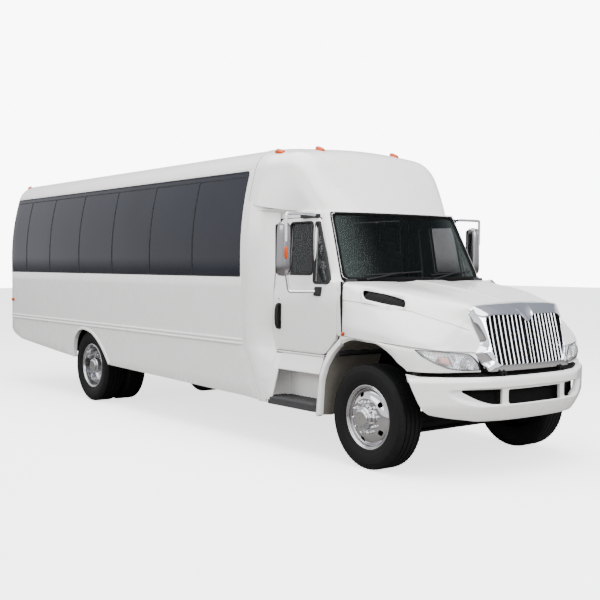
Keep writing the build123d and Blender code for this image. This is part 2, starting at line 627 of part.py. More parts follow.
# ---------------------------------------------------------------- chassis
RAIL_OUTLINE = [(-8350, 780), (-8350, 900), (-900, 900), (-500, 780), (900, 780), (900, 600),
                (-500, 600), (-900, 680), (-8000, 680)]
TOW_EYE = (-8325.0, 670.0, 15.0)   # x, z, radius
HOOD_BRACKET = [(900, 740), (900, 790), (950, 950), (998, 950), (998, 906), (966, 906), (958, 740)]
REAR_CROSS_X = (-8250, -7200, -6500, -4700, -3600, -2500, -1400)
FRONT_CROSS_X = 700
OUTRIGGER_X = (-8000, -7300, -6400, -4800, -4200, -3500)
frame_rails = []
cross_members = []
for side in (-1, 1):
    y0 = side * RAIL_Y - 30
    y1 = side * RAIL_Y + 30
    rail = prism_y(RAIL_OUTLINE, y0, y1)
    rail += block(-8350, -8300, y0, y1, 640, 800)
    rail -= rod_y(*TOW_EYE, y0 - 5, y1 + 5)
    rail += block(900, 958, y0, y1, 600, 780)
    for y in (y0, y1 - 14):
        rail += prism_y(HOOD_BRACKET, y, y + 14)
    rail += rod_y(*HOOD_PIVOT, HINGE_PIN, y0, y1)
    frame_rails += solids_of(rail)
    for x in OUTRIGGER_X:
        near, far = sorted((side * (RAIL_Y + 30), side * (RAIL_Y + 330)))
        cross_members.append(block(x - 30, x + 30, near, far, 880, FLOOR_Z - FLOOR_THICK - 1))
for x in REAR_CROSS_X:
    cross_members.append(block(x - 40, x + 40, -RAIL_Y + 30, RAIL_Y - 30, 760, 860))
cross_members.append(block(FRONT_CROSS_X - 40, FRONT_CROSS_X + 40, -RAIL_Y + 30, RAIL_Y - 30,
                           640, 740))
frame_rails = Compound(children=frame_rails)
cross_members = Compound(children=cross_members)

engine_block = block(-330, 560, -270, 270, 800, 1320)
radiator = block(640, 700, -400, 400, 800, 1380)

springs = []
for side in (-1, 1):
    y = side * 470
    springs.append(prism_y([(-650, 620), (-600, 590), (0, 535), (600, 590), (650, 620), (0, 575)],
                           y - 38, y + 38))
    wx = -WHEELBASE
    springs.append(prism_y([(wx - 750, 640), (wx - 700, 610), (wx, 550), (wx + 700, 610),
                            (wx + 750, 640), (wx, 660)], y - 38, y + 38))
    for x in (-625, 625, wx - 725, wx + 725):
        top = 780 if x > -5000 else 880
        springs.append(block(x - 30, x + 30, y - 39, y + 39, 600, top))
spring_all = springs[0]
for piece in springs[1:]:
    spring_all += piece
leaf_springs = spring_all - frame_rails - cross_members - front_axle_beam - rear_axle

driveshaft = rod_x(0, 560, 45, -WHEELBASE + 400, -1000)
fuel_tank = block(-4300, -3200, 560, 1080, 560, 840)
exhaust = rod_x(-620, 700, 55, -4200, -1900) + rod_x(-620, 700, 130, -3600, -2600)

# ---------------------------------------------------------------- seats
def bench(x, y_middle, width):
    """Two-place bench facing forward, its back's foot at x."""
    y0, y1 = y_middle - width / 2, y_middle + width / 2
    seat = prism_y([(x, 1410), (x + 420, 1430), (x + 430, 1490), (x + 60, 1480), (x + 10, 1480),
                    (x - 110, 2060), (x - 190, 2060), (x - 60, 1410)], y0, y1)
    legs = block(x + 120, x + 180, y0 + 120, y0 + 180, FLOOR_Z + 1, 1428)
    legs += block(x + 120, x + 180, y1 - 180, y1 - 120, FLOOR_Z + 1, 1428)
    return seat + legs


wheel_boxes = block(-6190, -5060, -1300, 1300, 900, 1111)
seat_list = []
ROWS = 7
PITCH = 740.0
for row in range(ROWS):
    x = -3300 - row * PITCH
    for side in (-1, 1):
        bench_piece = bench(x, side * 680, 880)
        seat_list += solids_of(bench_piece - wheel_boxes)
seat_list += solids_of(bench(-2500, -700, 880))
for y in (-450.0, 450.0):
    pilot = prism_y([(-1440, 1330), (-1000, 1350), (-990, 1440), (-1330, 1430), (-1400, 2050),
                     (-1450, 2150), (-1475, 2100), (-1475, 1500)], y - 250, y + 250)
    pilot += block(-1380, -1080, y - 180, y + 180, 1030, 1335)
    seat_list += solids_of(pilot)
seats = Compound(children=seat_list)

# ---------------------------------------------------------------- write the pieces
os.makedirs("parts", exist_ok=True)
front_at = Pos(0, 0, TYRE_RADIUS)
rear_at = Pos(-WHEELBASE, 0, TYRE_RADIUS)
pieces = {
    "frame_rails": frame_rails, "cross_members": cross_members,
    "engine_block": engine_block, "radiator": radiator,
    "front_axle_beam": front_axle_beam, "leaf_springs": leaf_springs, "rear_axle": rear_axle,
    "driveshaft": driveshaft, "fuel_tank": fuel_tank, "exhaust": exhaust,
    "passenger_floor": passenger_floor, "right_side_wall": right_side_wall,
    "left_side_wall": left_side_wall, "passenger_roof": passenger_roof, "rear_wall": rear_wall,
    "right_side_windows": Compound(children=[s for p in right_panes for s in solids_of(p)]),
    "left_side_windows": Compound(children=[s for p in left_panes for s in solids_of(p)]),
    "front_cap": cap, "cab_shell": cab_shell, "windshield": windshield,
    "cab_steps": both_sides(step), "dashboard": dashboard, "steering_wheel": steering_wheel,
    "seats": seats, "front_bumper": front_bumper, "rear_bumper": rear_bumper,
    "tail_lamps": tail_lamps, "marker_lamps": marker_lamps,
    "hood": hood, "grille_surround": grille_surround, "grille_bars": grille_bars,
    "headlights": headlights, "rear_door": rear_door, "rear_door_glass": rear_door_glass,
    "entrance_front_leaf": entrance_front_leaf, "entrance_front_glass": entrance_front_glass,
    "entrance_rear_leaf": entrance_rear_leaf, "entrance_rear_glass": entrance_rear_glass,
    "left_cab_door": left_door, "right_cab_door": other_side(left_door),
    "left_door_glass": left_glass, "right_door_glass": other_side(left_glass),
    "left_mirror": left_mirror, "right_mirror": other_side(left_mirror),
    "left_knuckle": knuckle(), "right_knuckle": other_side(knuckle()),
    "front_left_tyre": front_at * front_tyre, "front_right_tyre": front_at * other_side(front_tyre),
    "front_left_rim": front_at * front_rim, "front_right_rim": front_at * other_side(front_rim),
    "rear_left_tyres": rear_at * rear_tyres, "rear_right_tyres": rear_at * other_side(rear_tyres),
    "rear_left_rims": rear_at * rear_rim, "rear_right_rims": rear_at * other_side(rear_rim),
}
for name, shape in pieces.items():
    save(name, shape)
print(len(pieces), "pieces")
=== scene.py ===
import math
import bpy
import bmesh
import numpy as np
from mathutils import Matrix
from mathutils.geometry import delaunay_2d_cdt


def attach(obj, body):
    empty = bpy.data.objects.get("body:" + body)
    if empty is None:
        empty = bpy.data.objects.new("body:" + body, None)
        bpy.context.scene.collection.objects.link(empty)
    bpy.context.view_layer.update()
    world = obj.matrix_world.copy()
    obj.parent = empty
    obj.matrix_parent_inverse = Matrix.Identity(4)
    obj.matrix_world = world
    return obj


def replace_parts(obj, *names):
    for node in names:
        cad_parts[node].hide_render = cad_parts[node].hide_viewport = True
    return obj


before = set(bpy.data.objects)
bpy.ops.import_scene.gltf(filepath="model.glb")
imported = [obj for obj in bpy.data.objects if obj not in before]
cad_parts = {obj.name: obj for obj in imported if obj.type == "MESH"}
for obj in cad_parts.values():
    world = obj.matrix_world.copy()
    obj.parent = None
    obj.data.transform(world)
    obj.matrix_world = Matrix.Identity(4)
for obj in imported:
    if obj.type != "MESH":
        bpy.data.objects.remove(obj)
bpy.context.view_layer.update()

# ---- Studio.  A pale floor and a white room with soft lamps high up, and a camera at standing
# height off the front right corner of the bus.
FRONT_AXLE = 3.715            # metres from the footprint's middle to the front axle


def aim(yaw, pitch, roll):
    """Camera axes: forward from yaw and pitch, right level, then both turned by roll."""
    y, p, r = np.radians([yaw, pitch, roll])
    ahead = np.array([np.cos(p) * np.cos(y), np.cos(p) * np.sin(y), np.sin(p)])
    right = np.array([np.sin(y), -np.cos(y), 0.0])
    up = np.cross(right, ahead)
    across = right * np.cos(r) + up * np.sin(r)
    over = up * np.cos(r) - right * np.sin(r)
    return Matrix(np.column_stack([across, over, -ahead]).tolist()).to_4x4()


def added(name, data):
    """A new object in the scene."""
    made = bpy.data.objects.new(name, data)
    bpy.context.scene.collection.objects.link(made)
    return made


lens = bpy.data.cameras.new("camera")
lens.sensor_width = 36.0
lens.lens = 58.72
lens.shift_x = 0.0201
lens.shift_y = 0.0053
lens.clip_end = 200.0
camera = added("camera", lens)
camera.matrix_world = Matrix.Translation((10.3877, -7.053, 1.8893)) @ aim(142.9992, -2.3401, 0.1469)
bpy.context.scene.camera = camera

for name, place, size, power, turn in (("roof_lamp", (3.0, -1.0, 10.0), (16.0, 10.0), 2300.0,
        (0.0, 0.0, 0.0)), ("side_lamp", (0.0, -16.0, 7.5), (18.0, 6.0), 1150.0, (62.0, 0.0, 0.0)),
        ("nose_lamp", (16.0, -2.0, 6.5), (8.0, 6.0), 1500.0, (64.0, 0.0, 90.0))):
    lamp = bpy.data.lights.new(name, "AREA")
    lamp.shape = "RECTANGLE"
    lamp.size, lamp.size_y = size
    lamp.energy = power
    holder = added(name, lamp)
    holder.location = place
    holder.rotation_euler = np.radians(turn)


class Wire:
    """An output socket of a material: + and * on it, either way round, add Math nodes."""

    def __init__(self, paint, socket):
        self.paint = paint
        self.socket = socket

    def _math(self, kind, a, b):
        return self.paint.node("ShaderNodeMath", {"operation": kind}, {0: a, 1: b})

    def __add__(self, other):
        return self._math("ADD", self, other)

    def __mul__(self, other):
        return self._math("MULTIPLY", self, other)

    def __getitem__(self, name):
        return Wire(self.paint, self.socket.node.outputs[name])

    __radd__ = __add__
    __rmul__ = __mul__


class Paint:
    """A material or a world with its one shader; node() adds any other node."""

    def __init__(self, name, shade_shelf=bpy.data.materials, shader="Principled BSDF"):
        self.material = shade_shelf.new(name)
        self.material.use_nodes = True
        self.tree = self.material.node_tree
        self.shader = self.tree.nodes[shader]

    def node(self, kind, settings=None, sockets=None):
        """Adds a node: settings first (a ramp's stops among them), then socket values or links."""
        made = self.tree.nodes.new(kind)
        for key, value in (settings or {}).items():
            if key == "stops":
                ramp = made.color_ramp
                while len(ramp.elements) < len(value):
                    ramp.elements.new(0.5)
                for stop, (at, colour) in zip(ramp.elements, value):
                    stop.position = at
                    stop.color = colour
            else:
                setattr(made, key, value)
        for key, value in (sockets or {}).items():
            self.plug(made.inputs[key], value)
        return Wire(self, next(s for s in made.outputs if s.enabled))

    def plug(self, socket, value):
        """Links a wire to a socket, or sets the socket's own value."""
        if isinstance(value, Wire):
            self.tree.links.new(value.socket, socket)
        elif hasattr(value, "__len__") and len(value) == 3 and socket.type == "RGBA":
            socket.default_value = (*value, 1.0)
        else:
            socket.default_value = value

    def finish(self, **sockets):
        """Sets or links the shader's sockets, named with _ for a space."""
        for key, value in sockets.items():
            self.plug(self.shader.inputs[key.replace("_", " ")], value)
        return self.material

    def place(self, scale=(1.0, 1.0, 1.0)):
        """Object coordinates, scaled."""
        where = self.node("ShaderNodeTexCoord")["Object"]
        return self.node("ShaderNodeMapping", None, {"Vector": where, "Scale": scale})

    def grain(self, scale, detail=2.0, vector=None):
        """Noise from 0 to 1 with that many spots to the metre."""
        where = vector or self.node("ShaderNodeTexCoord")["Object"]
        return self.node("ShaderNodeTexNoise", None, {"Vector": where, "Scale": scale, "Detail": detail})

    def cells(self, scale, feature="F1"):
        """Distance from the nearest of scattered points, with that many to the metre."""
        return self.node("ShaderNodeTexVoronoi", {"feature": feature}, {"Scale": scale})["Distance"]

    def ribs(self, scale, direction="X", **more):
        """Even ridges across one axis, with about that many to the metre."""
        kind = {"wave_type": "BANDS", "bands_direction": direction}
        return self.node("ShaderNodeTexWave", kind, {"Scale": scale, "Vector": self.place(), **more})

    def ramp(self, mask, *stops):
        """Colour looked up by the mask in stops of (place, colour)."""
        stops = [(at, (*colour, 1.0)) for at, colour in stops]
        return self.node("ShaderNodeValToRGB", {"stops": stops}, {"Fac": mask})

    def blend(self, mask, low, high):
        """Colour that goes from low to high as the mask goes from 0 to 1; one number is a grey."""
        low, high = (tone if isinstance(tone, tuple) else (tone,) * 3 for tone in (low, high))
        return self.ramp(mask, (0.0, low), (1.0, high))

    def mixed(self, mask, first, second):
        """The first colour where the mask is 0 and the second where it is 1."""
        return self.node("ShaderNodeMix", {"data_type": "RGBA"}, {"Factor": mask, 6: first, 7: second})

    def relief(self, height, strength, distance):
        """Bump from a height of 0 to 1."""
        return self.node("ShaderNodeBump", None,
            {"Height": height, "Strength": strength, "Distance": distance})


room = Paint("studio_room", bpy.data.worlds, "Background")
way = room.node("ShaderNodeSeparateXYZ", None, {"Vector": room.node("ShaderNodeTexCoord")["Generated"]})
GROUND = (0.3, 0.29, 0.28)
low_light = [(0.0, GROUND), (0.495, GROUND), (0.505, (1.7, 1.7, 1.78))]
wall_light = room.ramp(way["Z"] * 0.5 + 0.5, *low_light, (0.6, (1.45, 1.47, 1.58)),
    (0.72, (0.42, 0.45, 0.52)), (0.86, (0.5, 0.53, 0.6)), (1.0, (1.3, 1.3, 1.35)))
near_light = room.ramp(way["Z"] * 0.5 + 0.5, *low_light, (0.75, (1.3, 1.32, 1.38)), (1.0, (1.3, 1.3, 1.35)))
far_side = room.node("ShaderNodeMapRange", {"interpolation_type": "SMOOTHSTEP"},
    {"Value": way["Y"], "From Min": -0.2, "From Max": 0.3})
around = room.mixed(far_side, near_light, wall_light)
path = room.node("ShaderNodeLightPath")
unglazed = room.node("ShaderNodeMath", {"operation": "LESS_THAN"}, {0: path["Transparent Depth"], 1: 0.5})
backdrop = room.mixed(path["Is Camera Ray"] * unglazed, around, (9.0, 9.0, 9.0))
bpy.context.scene.world = room.finish(Color=backdrop, Strength=1.0)

floor_paint = Paint("studio_floor")
seen = floor_paint.node("ShaderNodeLightPath")["Is Camera Ray"]
floor_tone = floor_paint.mixed(seen, (0.2, 0.19, 0.18), (0.93, 0.93, 0.93))
floor_glow = floor_paint.mixed(seen, (0.0, 0.0, 0.0), (1.0, 1.0, 1.0))
FLOOR_HALF = 60
floor_mesh = bpy.data.meshes.new("studio_floor")
floor_mesh.from_pydata([(x * FLOOR_HALF, y * FLOOR_HALF, 0)
    for x, y in ((-1, -1), (1, -1), (1, 1), (-1, 1))], [], [(0, 1, 2, 3)])
floor_mesh.materials.append(floor_paint.finish(Base_Color=floor_tone, Roughness=0.9, Specular_IOR_Level=0.0,
    Emission_Color=floor_glow, Emission_Strength=2.0))
studio_floor = added("studio_floor", floor_mesh)

# ---- Passenger body.  Moulded white panels over a steel cage: two sides with a black glass band,
# a crowned roof and a rear wall with rounded corners, bonded at the joints.
SIDE_Y = 1.219                # half width
BEND_Z = 1.95                 # the side is upright below this height
SIDE_ARC = 3.24
SIDE_TURN = math.radians(16.7)
CORNER_ARC = 0.308
ROOF_TILT = math.radians(90 - 7.13)
REAR_X = -8.4
REAR_ARC = 0.09               # radius of the rear wall's edge
SEAM_X = -1.86                # joint with the front fairing
BAND_Z = (1.743, 2.87)       # glass band
CANT_Z = 2.885                # joint of side and roof
SEAMS = np.array([-1.914, -2.896, -3.887, -4.886, -5.882, -6.867, -7.733, -8.345])
SIDES = ((-1, "right"), (1, "left"))
AHEAD = (1.0, 0.0, 0.0)
BODY_CORE = (-3.7, 0.0, 1.2)  # a point that the body's faces look away from


def coat(name, texture, low, high, rough, relief=None, **fixed):
    """Finish in two tones.  The texture goes from the low tone to the high one, and roughness is a
    base plus a gain times it, or times a texture of its own; the relief is (texture or None for
    the one that roughness uses, strength, depth).  A texture is (scale, detail) of noise, or
    starts with the name of another method of Paint."""
    paint = Paint(name)

    def drawn(spec):
        return getattr(paint, spec[0])(*spec[1:]) if isinstance(spec[0], str) else paint.grain(*spec)
    mask = drawn(texture)
    fixed["Base_Color"] = paint.blend(mask, low, high)
    if isinstance(rough, tuple):
        mask = drawn(rough[2]) if len(rough) > 2 else mask
        fixed["Roughness"] = rough[0] + mask * rough[1]
    else:
        fixed["Roughness"] = rough
    if relief:
        fixed["Normal"] = paint.relief(drawn(relief[0]) if relief[0] else mask, *relief[1:])
    return paint.finish(**fixed)


def xyz(x, y, z):
    """Points from their coordinates, each spread to the shape of all three."""
    return np.stack(np.broadcast_arrays(x, y, z), -1)


def unit(v):
    """Rows divided by their lengths."""
    return v / np.linalg.norm(v, axis=-1, keepdims=True)


def between(a, b, t):
    """Straight blend: a where t is 0, b where t is 1."""
    return a * (1 - t) + b * t


def share(a, b, span):
    """How far a is past b, as a part of the span, held between 0 and 1."""
    return np.clip((a - b) / span, 0, 1)


def signed(v, power):
    """A power of the size of v that keeps its sign."""
    return np.sign(v) * np.abs(v) ** power


def turns(count):
    """Angles spread evenly round a circle."""
    return np.linspace(0, 2 * np.pi, count, endpoint=False)


def smooth_line(knots, count, closed=False):
    """Smooth line through the knots: each span is a cubic whose end slopes are half the step
    between the neighbours on either side; the points are then spread evenly in length."""
    k = np.array(knots, float)
    k = np.vstack([k[-1:], k, k[:2]]) if closed else np.vstack([2 * k[0] - k[1], k, 2 * k[-1] - k[-2]])
    spans = len(k) - 3
    t = np.linspace(0, spans, 32 * spans + 1)
    i = np.minimum(t.astype(int), spans - 1)
    f = (t - i)[:, None]
    a, b, c, d = k[i], k[i + 1], k[i + 2], k[i + 3]
    p = 0.5 * (2 * b + (c - a) * f + (2 * a - 5 * b + 4 * c - d) * f ** 2 + (3 * b - a - 3 * c + d)
        * f ** 3)
    run = np.append(0, np.cumsum(np.linalg.norm(np.diff(p, axis=0), axis=1)))
    at = np.linspace(0, run[-1], count, endpoint=not closed)
    return np.column_stack([np.interp(at, run, column) for column in p.T])


def rounded(corners, radius, steps=5):
    """Closed outline whose corners are parabolas that start the radius before each corner."""
    b = np.array(corners, float)
    cut = np.broadcast_to(radius, len(b))[:, None]
    back = np.roll(b, 1, 0) - b
    on = np.roll(b, -1, 0) - b
    a = b + unit(back) * cut
    c = b + unit(on) * cut
    t = np.linspace(0, 1, steps)[None, :, None]
    curves = (1 - t) ** 2 * a[:, None] + 2 * t * (1 - t) * b[:, None] + t ** 2 * c[:, None]
    return curves.reshape(-1, 2)


def rounded_box(x, z, radius, steps=5):
    """Rounded rectangle from its range each way."""
    return rounded([(x[0], z[0]), (x[1], z[0]), (x[1], z[1]), (x[0], z[1])], radius, steps)


def spaced(outline, step):
    """Closed outline with points added so that no gap is longer than the step."""
    p = np.array(outline, float)
    q = np.roll(p, -1, 0)
    extra = np.maximum(np.ceil(np.linalg.norm(q - p, axis=1) / step), 1).astype(int)
    which = np.repeat(np.arange(len(p)), extra)
    part = (np.arange(len(which)) - (np.cumsum(extra) - extra)[which]) / extra[which]
    return p[which] + (q - p)[which] * part[:, None]


def filled(outline, holes, step):
    """Flat net of triangles inside the outline and outside the holes, with a square lattice of
    points between them; returns the points and the triangles."""
    loops = [spaced(loop, step) for loop in [outline, *holes]]
    ends = np.cumsum([len(loop) for loop in loops])
    rings = [list(range(end - len(loop), end)) for loop, end in zip(loops, ends)]
    rim = np.vstack(loops)
    low, high = rim.min(0), rim.max(0)
    rows = [np.arange(a + step / 2, b, step) for a, b in zip(low, high)]
    lattice = np.stack(np.meshgrid(*rows), -1).reshape(-1, 2)
    near = np.full(len(lattice), np.inf)
    for part in np.array_split(rim, max(len(rim) // 64, 1)):
        gap = np.linalg.norm(lattice[:, None] - part[None], axis=2).min(1)
        near = np.minimum(near, gap)
    points = np.vstack([rim, lattice[near > 0.45 * step]])
    got = delaunay_2d_cdt(points.tolist(), [], rings, 2, 1e-7)
    return np.array([tuple(p) for p in got[0]]), [list(face) for face in got[2]]


def net_faces(rows, columns, wrap_rows=False, wrap_columns=False):
    """Four-sided faces of a grid of points, joined round where asked."""
    i = np.arange(rows if wrap_rows else rows - 1)
    j = np.arange(columns if wrap_columns else columns - 1)
    i, j = (part.ravel() for part in np.meshgrid(i, j, indexing="ij"))
    up, on = (i + 1) % rows, (j + 1) % columns
    return np.column_stack([i * columns + j, up * columns + j, up * columns + on, i * columns + on])


def net(grid, wrap_rows=False, wrap_columns=False):
    """A grid of points with its faces."""
    return grid, net_faces(*grid.shape[:2], wrap_rows, wrap_columns)


def patch(surface, outline, holes, step, height=0.0):
    """Flat net laid on a surface of two parameters, with its faces."""
    flat, faces = filled(outline, holes, step)
    return surface(flat[:, 0], flat[:, 1], height), faces


def both_sides(parts):
    """The parts and the same parts on the other side of the bus."""
    return parts + [(np.asarray(points) * (1.0, -1.0, 1.0), faces) for points, faces in parts]


def merged(parts, away):
    """Several (points, faces) as one, each turned to look away from a point: where the sum of face
    normals, each times its distance from that point, is negative, the faces are reversed."""
    points, faces, start = [], [], 0
    for p, f in parts:
        p = np.asarray(p, float).reshape(-1, 3)
        three = np.array([face[:3] for face in f])
        a, b, c = p[three[:, 0]], p[three[:, 1]], p[three[:, 2]]
        turn = 1 if np.sum(np.cross(b - a, c - a) * (a - away)) > 0 else -1
        points.append(p)
        faces += [[int(v) + start for v in face][::turn] for face in f]
        start += len(p)
    return np.vstack(points), faces


def applied(piece):
    """Gives the piece the mesh that its modifiers make, and removes them."""
    view = bpy.context.evaluated_depsgraph_get()
    piece.data = bpy.data.meshes.new_from_object(piece.evaluated_get(view))
    piece.modifiers.clear()


def build(name, parts, look, body="root", wall=0.0, rim=0.0, crease=32.0, inner=BODY_CORE, join=1e-5):
    """Piece from parts placed from the front axle, each turned to look away from the inner point;
    a wall is laid under them and its rim eased; then it rides on its body.  The look is its slot,
    which is not used, and its material, or a list of two, of which the second lines it."""
    slot, paints = look
    mesh = bpy.data.meshes.new(name)
    points, faces = merged(parts, inner)
    mesh.from_pydata((points + (FRONT_AXLE, 0.0, 0.0)).tolist(), [], faces)
    work = bmesh.new()
    work.from_mesh(mesh)
    bmesh.ops.remove_doubles(work, verts=work.verts, dist=join)
    bmesh.ops.dissolve_degenerate(work, edges=work.edges, dist=join)
    work.to_mesh(mesh)
    work.free()
    piece = added(name, mesh)
    paints = paints if isinstance(paints, list) else [paints]
    for paint in paints:
        mesh.materials.append(paint)
    if wall:
        shell = piece.modifiers.new("wall", "SOLIDIFY")
        shell.thickness = wall
        shell.offset = -1.0
        shell.use_even_offset = False
        shell.material_offset = len(paints) - 1
    if rim:
        ease = piece.modifiers.new("rim", "BEVEL")
        ease.width = rim
        ease.segments = 2
        ease.limit_method = "ANGLE"
        ease.angle_limit = math.radians(50)
    if wall or rim:
        applied(piece)
    piece.data.shade_smooth()
    piece.data.set_sharp_from_angle(angle=math.radians(crease))
    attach(piece, body)
    return piece


def panel(name, outline, holes, surface, step, look, body="root", **how):
    """Piece cut from a surface of two parameters: the outline less the holes."""
    return build(name, [patch(surface, outline, holes, step)], look, body, **how)


def bead(line, across, surface, closed=True):
    """Strip laid on a surface: a profile of (distance across, height) carried along a line, the
    distance measured along the line's own left normal."""
    line = np.asarray(line, float)
    if closed:
        step = np.roll(line, -1, 0) - np.roll(line, 1, 0)
    else:
        step = np.gradient(line, axis=0)
    step = unit(step)
    side = np.column_stack([-step[:, 1], step[:, 0]])
    w, h = np.array(across, float).T
    a = line[:, :1] + side[:, :1] * w
    b = line[:, 1:] + side[:, 1:] * w
    return net(surface(a, b, np.broadcast_to(h, a.shape)), closed)


def tuck(x):
    """How far the skin has turned in at the rear edge: a quarter circle."""
    over = np.clip(REAR_X + REAR_ARC - x, 0.0, REAR_ARC)
    return REAR_ARC - np.sqrt(REAR_ARC ** 2 - over ** 2)


def side_skin(side):
    """Surface of one side at (x, z, height): upright, then an arc leaning in above the bend."""
    def surface(x, z, height):
        turn = np.arcsin(np.clip((z - BEND_Z) / SIDE_ARC, 0.0, 0.3))
        radius = SIDE_ARC + height - tuck(x)
        y = SIDE_Y - SIDE_ARC + radius * np.cos(turn)
        lift = np.where(z > BEND_Z, BEND_Z + radius * np.sin(turn), z)
        return xyz(x, side * y, lift)
    return surface


corner_y = SIDE_Y - SIDE_ARC + (SIDE_ARC - CORNER_ARC) * math.cos(SIDE_TURN)
corner_z = BEND_Z + (SIDE_ARC - CORNER_ARC) * math.sin(SIDE_TURN)
crown_arc = (corner_y + CORNER_ARC * math.cos(ROOF_TILT)) / math.cos(ROOF_TILT)
crown_z = corner_z + (CORNER_ARC - crown_arc) * math.sin(ROOF_TILT)
CROWN_RUN = crown_arc * (math.pi / 2 - ROOF_TILT)
CORNER_RUN = CROWN_RUN + CORNER_ARC * (ROOF_TILT - SIDE_TURN)
SIDE_RUN = CORNER_RUN + SIDE_ARC * SIDE_TURN


def round_skin(x, s, height=0.0):
    """Body section at s metres from the roof's middle, + to the left: crown arc, corner arc, side
    arc and a straight drop, all moved out by the height and in by the rear tuck."""
    out = height - tuck(x)
    far = np.abs(s)
    turn = np.select([far < CROWN_RUN, far < CORNER_RUN, far < SIDE_RUN], [math.pi / 2 - far / crown_arc,
        ROOF_TILT - (far - CROWN_RUN) / CORNER_ARC, SIDE_TURN - (far - CORNER_RUN) / SIDE_ARC], 0.0)
    y0 = np.select([far < CROWN_RUN, far < CORNER_RUN], [0.0, corner_y], SIDE_Y - SIDE_ARC)
    z0 = np.select([far < CROWN_RUN, far < CORNER_RUN], [crown_z, corner_z], BEND_Z)
    arc = np.select([far < CROWN_RUN, far < CORNER_RUN], [crown_arc, CORNER_ARC], SIDE_ARC) + out
    y = np.sign(s) * (y0 + arc * np.cos(turn))
    z = z0 + arc * np.sin(turn) - np.maximum(far - SIDE_RUN, 0.0)
    return xyz(x, y, z)


def side_run(z):
    """Distance round the section at which the side is at a height."""
    turn = np.arcsin(np.clip((z - BEND_Z) / SIDE_ARC, 0.0, 0.3))
    return np.where(z < BEND_Z, SIDE_RUN + BEND_Z - z, SIDE_RUN - SIDE_ARC * turn)


white_paint = coat("gloss_white_panel", (3.0, 3.0), (0.8, 0.792, 0.768), (0.84, 0.833, 0.812), (0.22, 0.1),
    ((420.0, 1.0), 0.04, 0.0004), Coat_Weight=0.6, Coat_Roughness=0.05)
black_trim = coat("black_rubber_trim", (60.0,), 0.005, 0.012, (0.45, 0.2, (9.0,)), ((900.0,), 0.15, 0.0004),
    Specular_IOR_Level=0.22)
# Deep black: the real colour of black rubber on gaskets, seals and tubs, and also painted shade on the sheets
# that stand behind openings.
deep_black = coat("deep_black_rubber_and_shade", (40.0,), 0.002, 0.005, 0.75, ((500.0,), 0.4, 0.002),
    Specular_IOR_Level=0.08)
grey_lining = coat("grey_inner_lining", (140.0, 4.0), (0.02, 0.021, 0.023), (0.042, 0.042, 0.045), 0.9,
    ((500.0, 3.0), 0.5, 0.001))
WHITE, LINED = ("white_paint", white_paint), ("white_paint", [white_paint, grey_lining])
BLACK, DARK = ("black_plastic", black_trim), ("black_plastic", deep_black)

SKIRT = [(-1.566, 0.474), (-1.8, 0.488), (-3.4, 0.52), (-4.975, 0.552)]
ARCH = [(-4.975, 0.552), (-5.07, 0.655), (-5.22, 0.79), (-5.45, 0.925), (-5.7, 0.975), (-5.88, 0.945),
    (-6.0, 0.845), (-6.045, 0.7), (-6.03, 0.575)]
TAIL = [(-6.5, 0.605), (-7.2, 0.654), (-7.94, 0.709), (-8.2, 0.775), (-8.36, 0.858)]
arch_line = smooth_line(ARCH, 60)
foot_line = np.vstack([SKIRT[:-1], arch_line, TAIL])
ENTRANCE = ((-2.862, -1.988), 2.422)
side_outline = np.vstack([[(SEAM_X - 0.003, CANT_Z), (SEAM_X - 0.003, 1.03)], foot_line, [(-8.36, CANT_Z)]])
RAIL_PROFILE = smooth_line([(-0.037, -0.004), (-0.034, 0.007), (-0.021, 0.012), (-0.008, 0.008),
    (0.0, 0.001), (0.008, 0.008), (0.021, 0.012), (0.034, 0.007), (0.037, -0.004)], 33)
LIP_PROFILE = smooth_line([(0.004, -0.05), (-0.002, -0.01), (-0.004, 0.008), (0.006, 0.014), (0.03, 0.01),
    (0.04, -0.003)], 21)

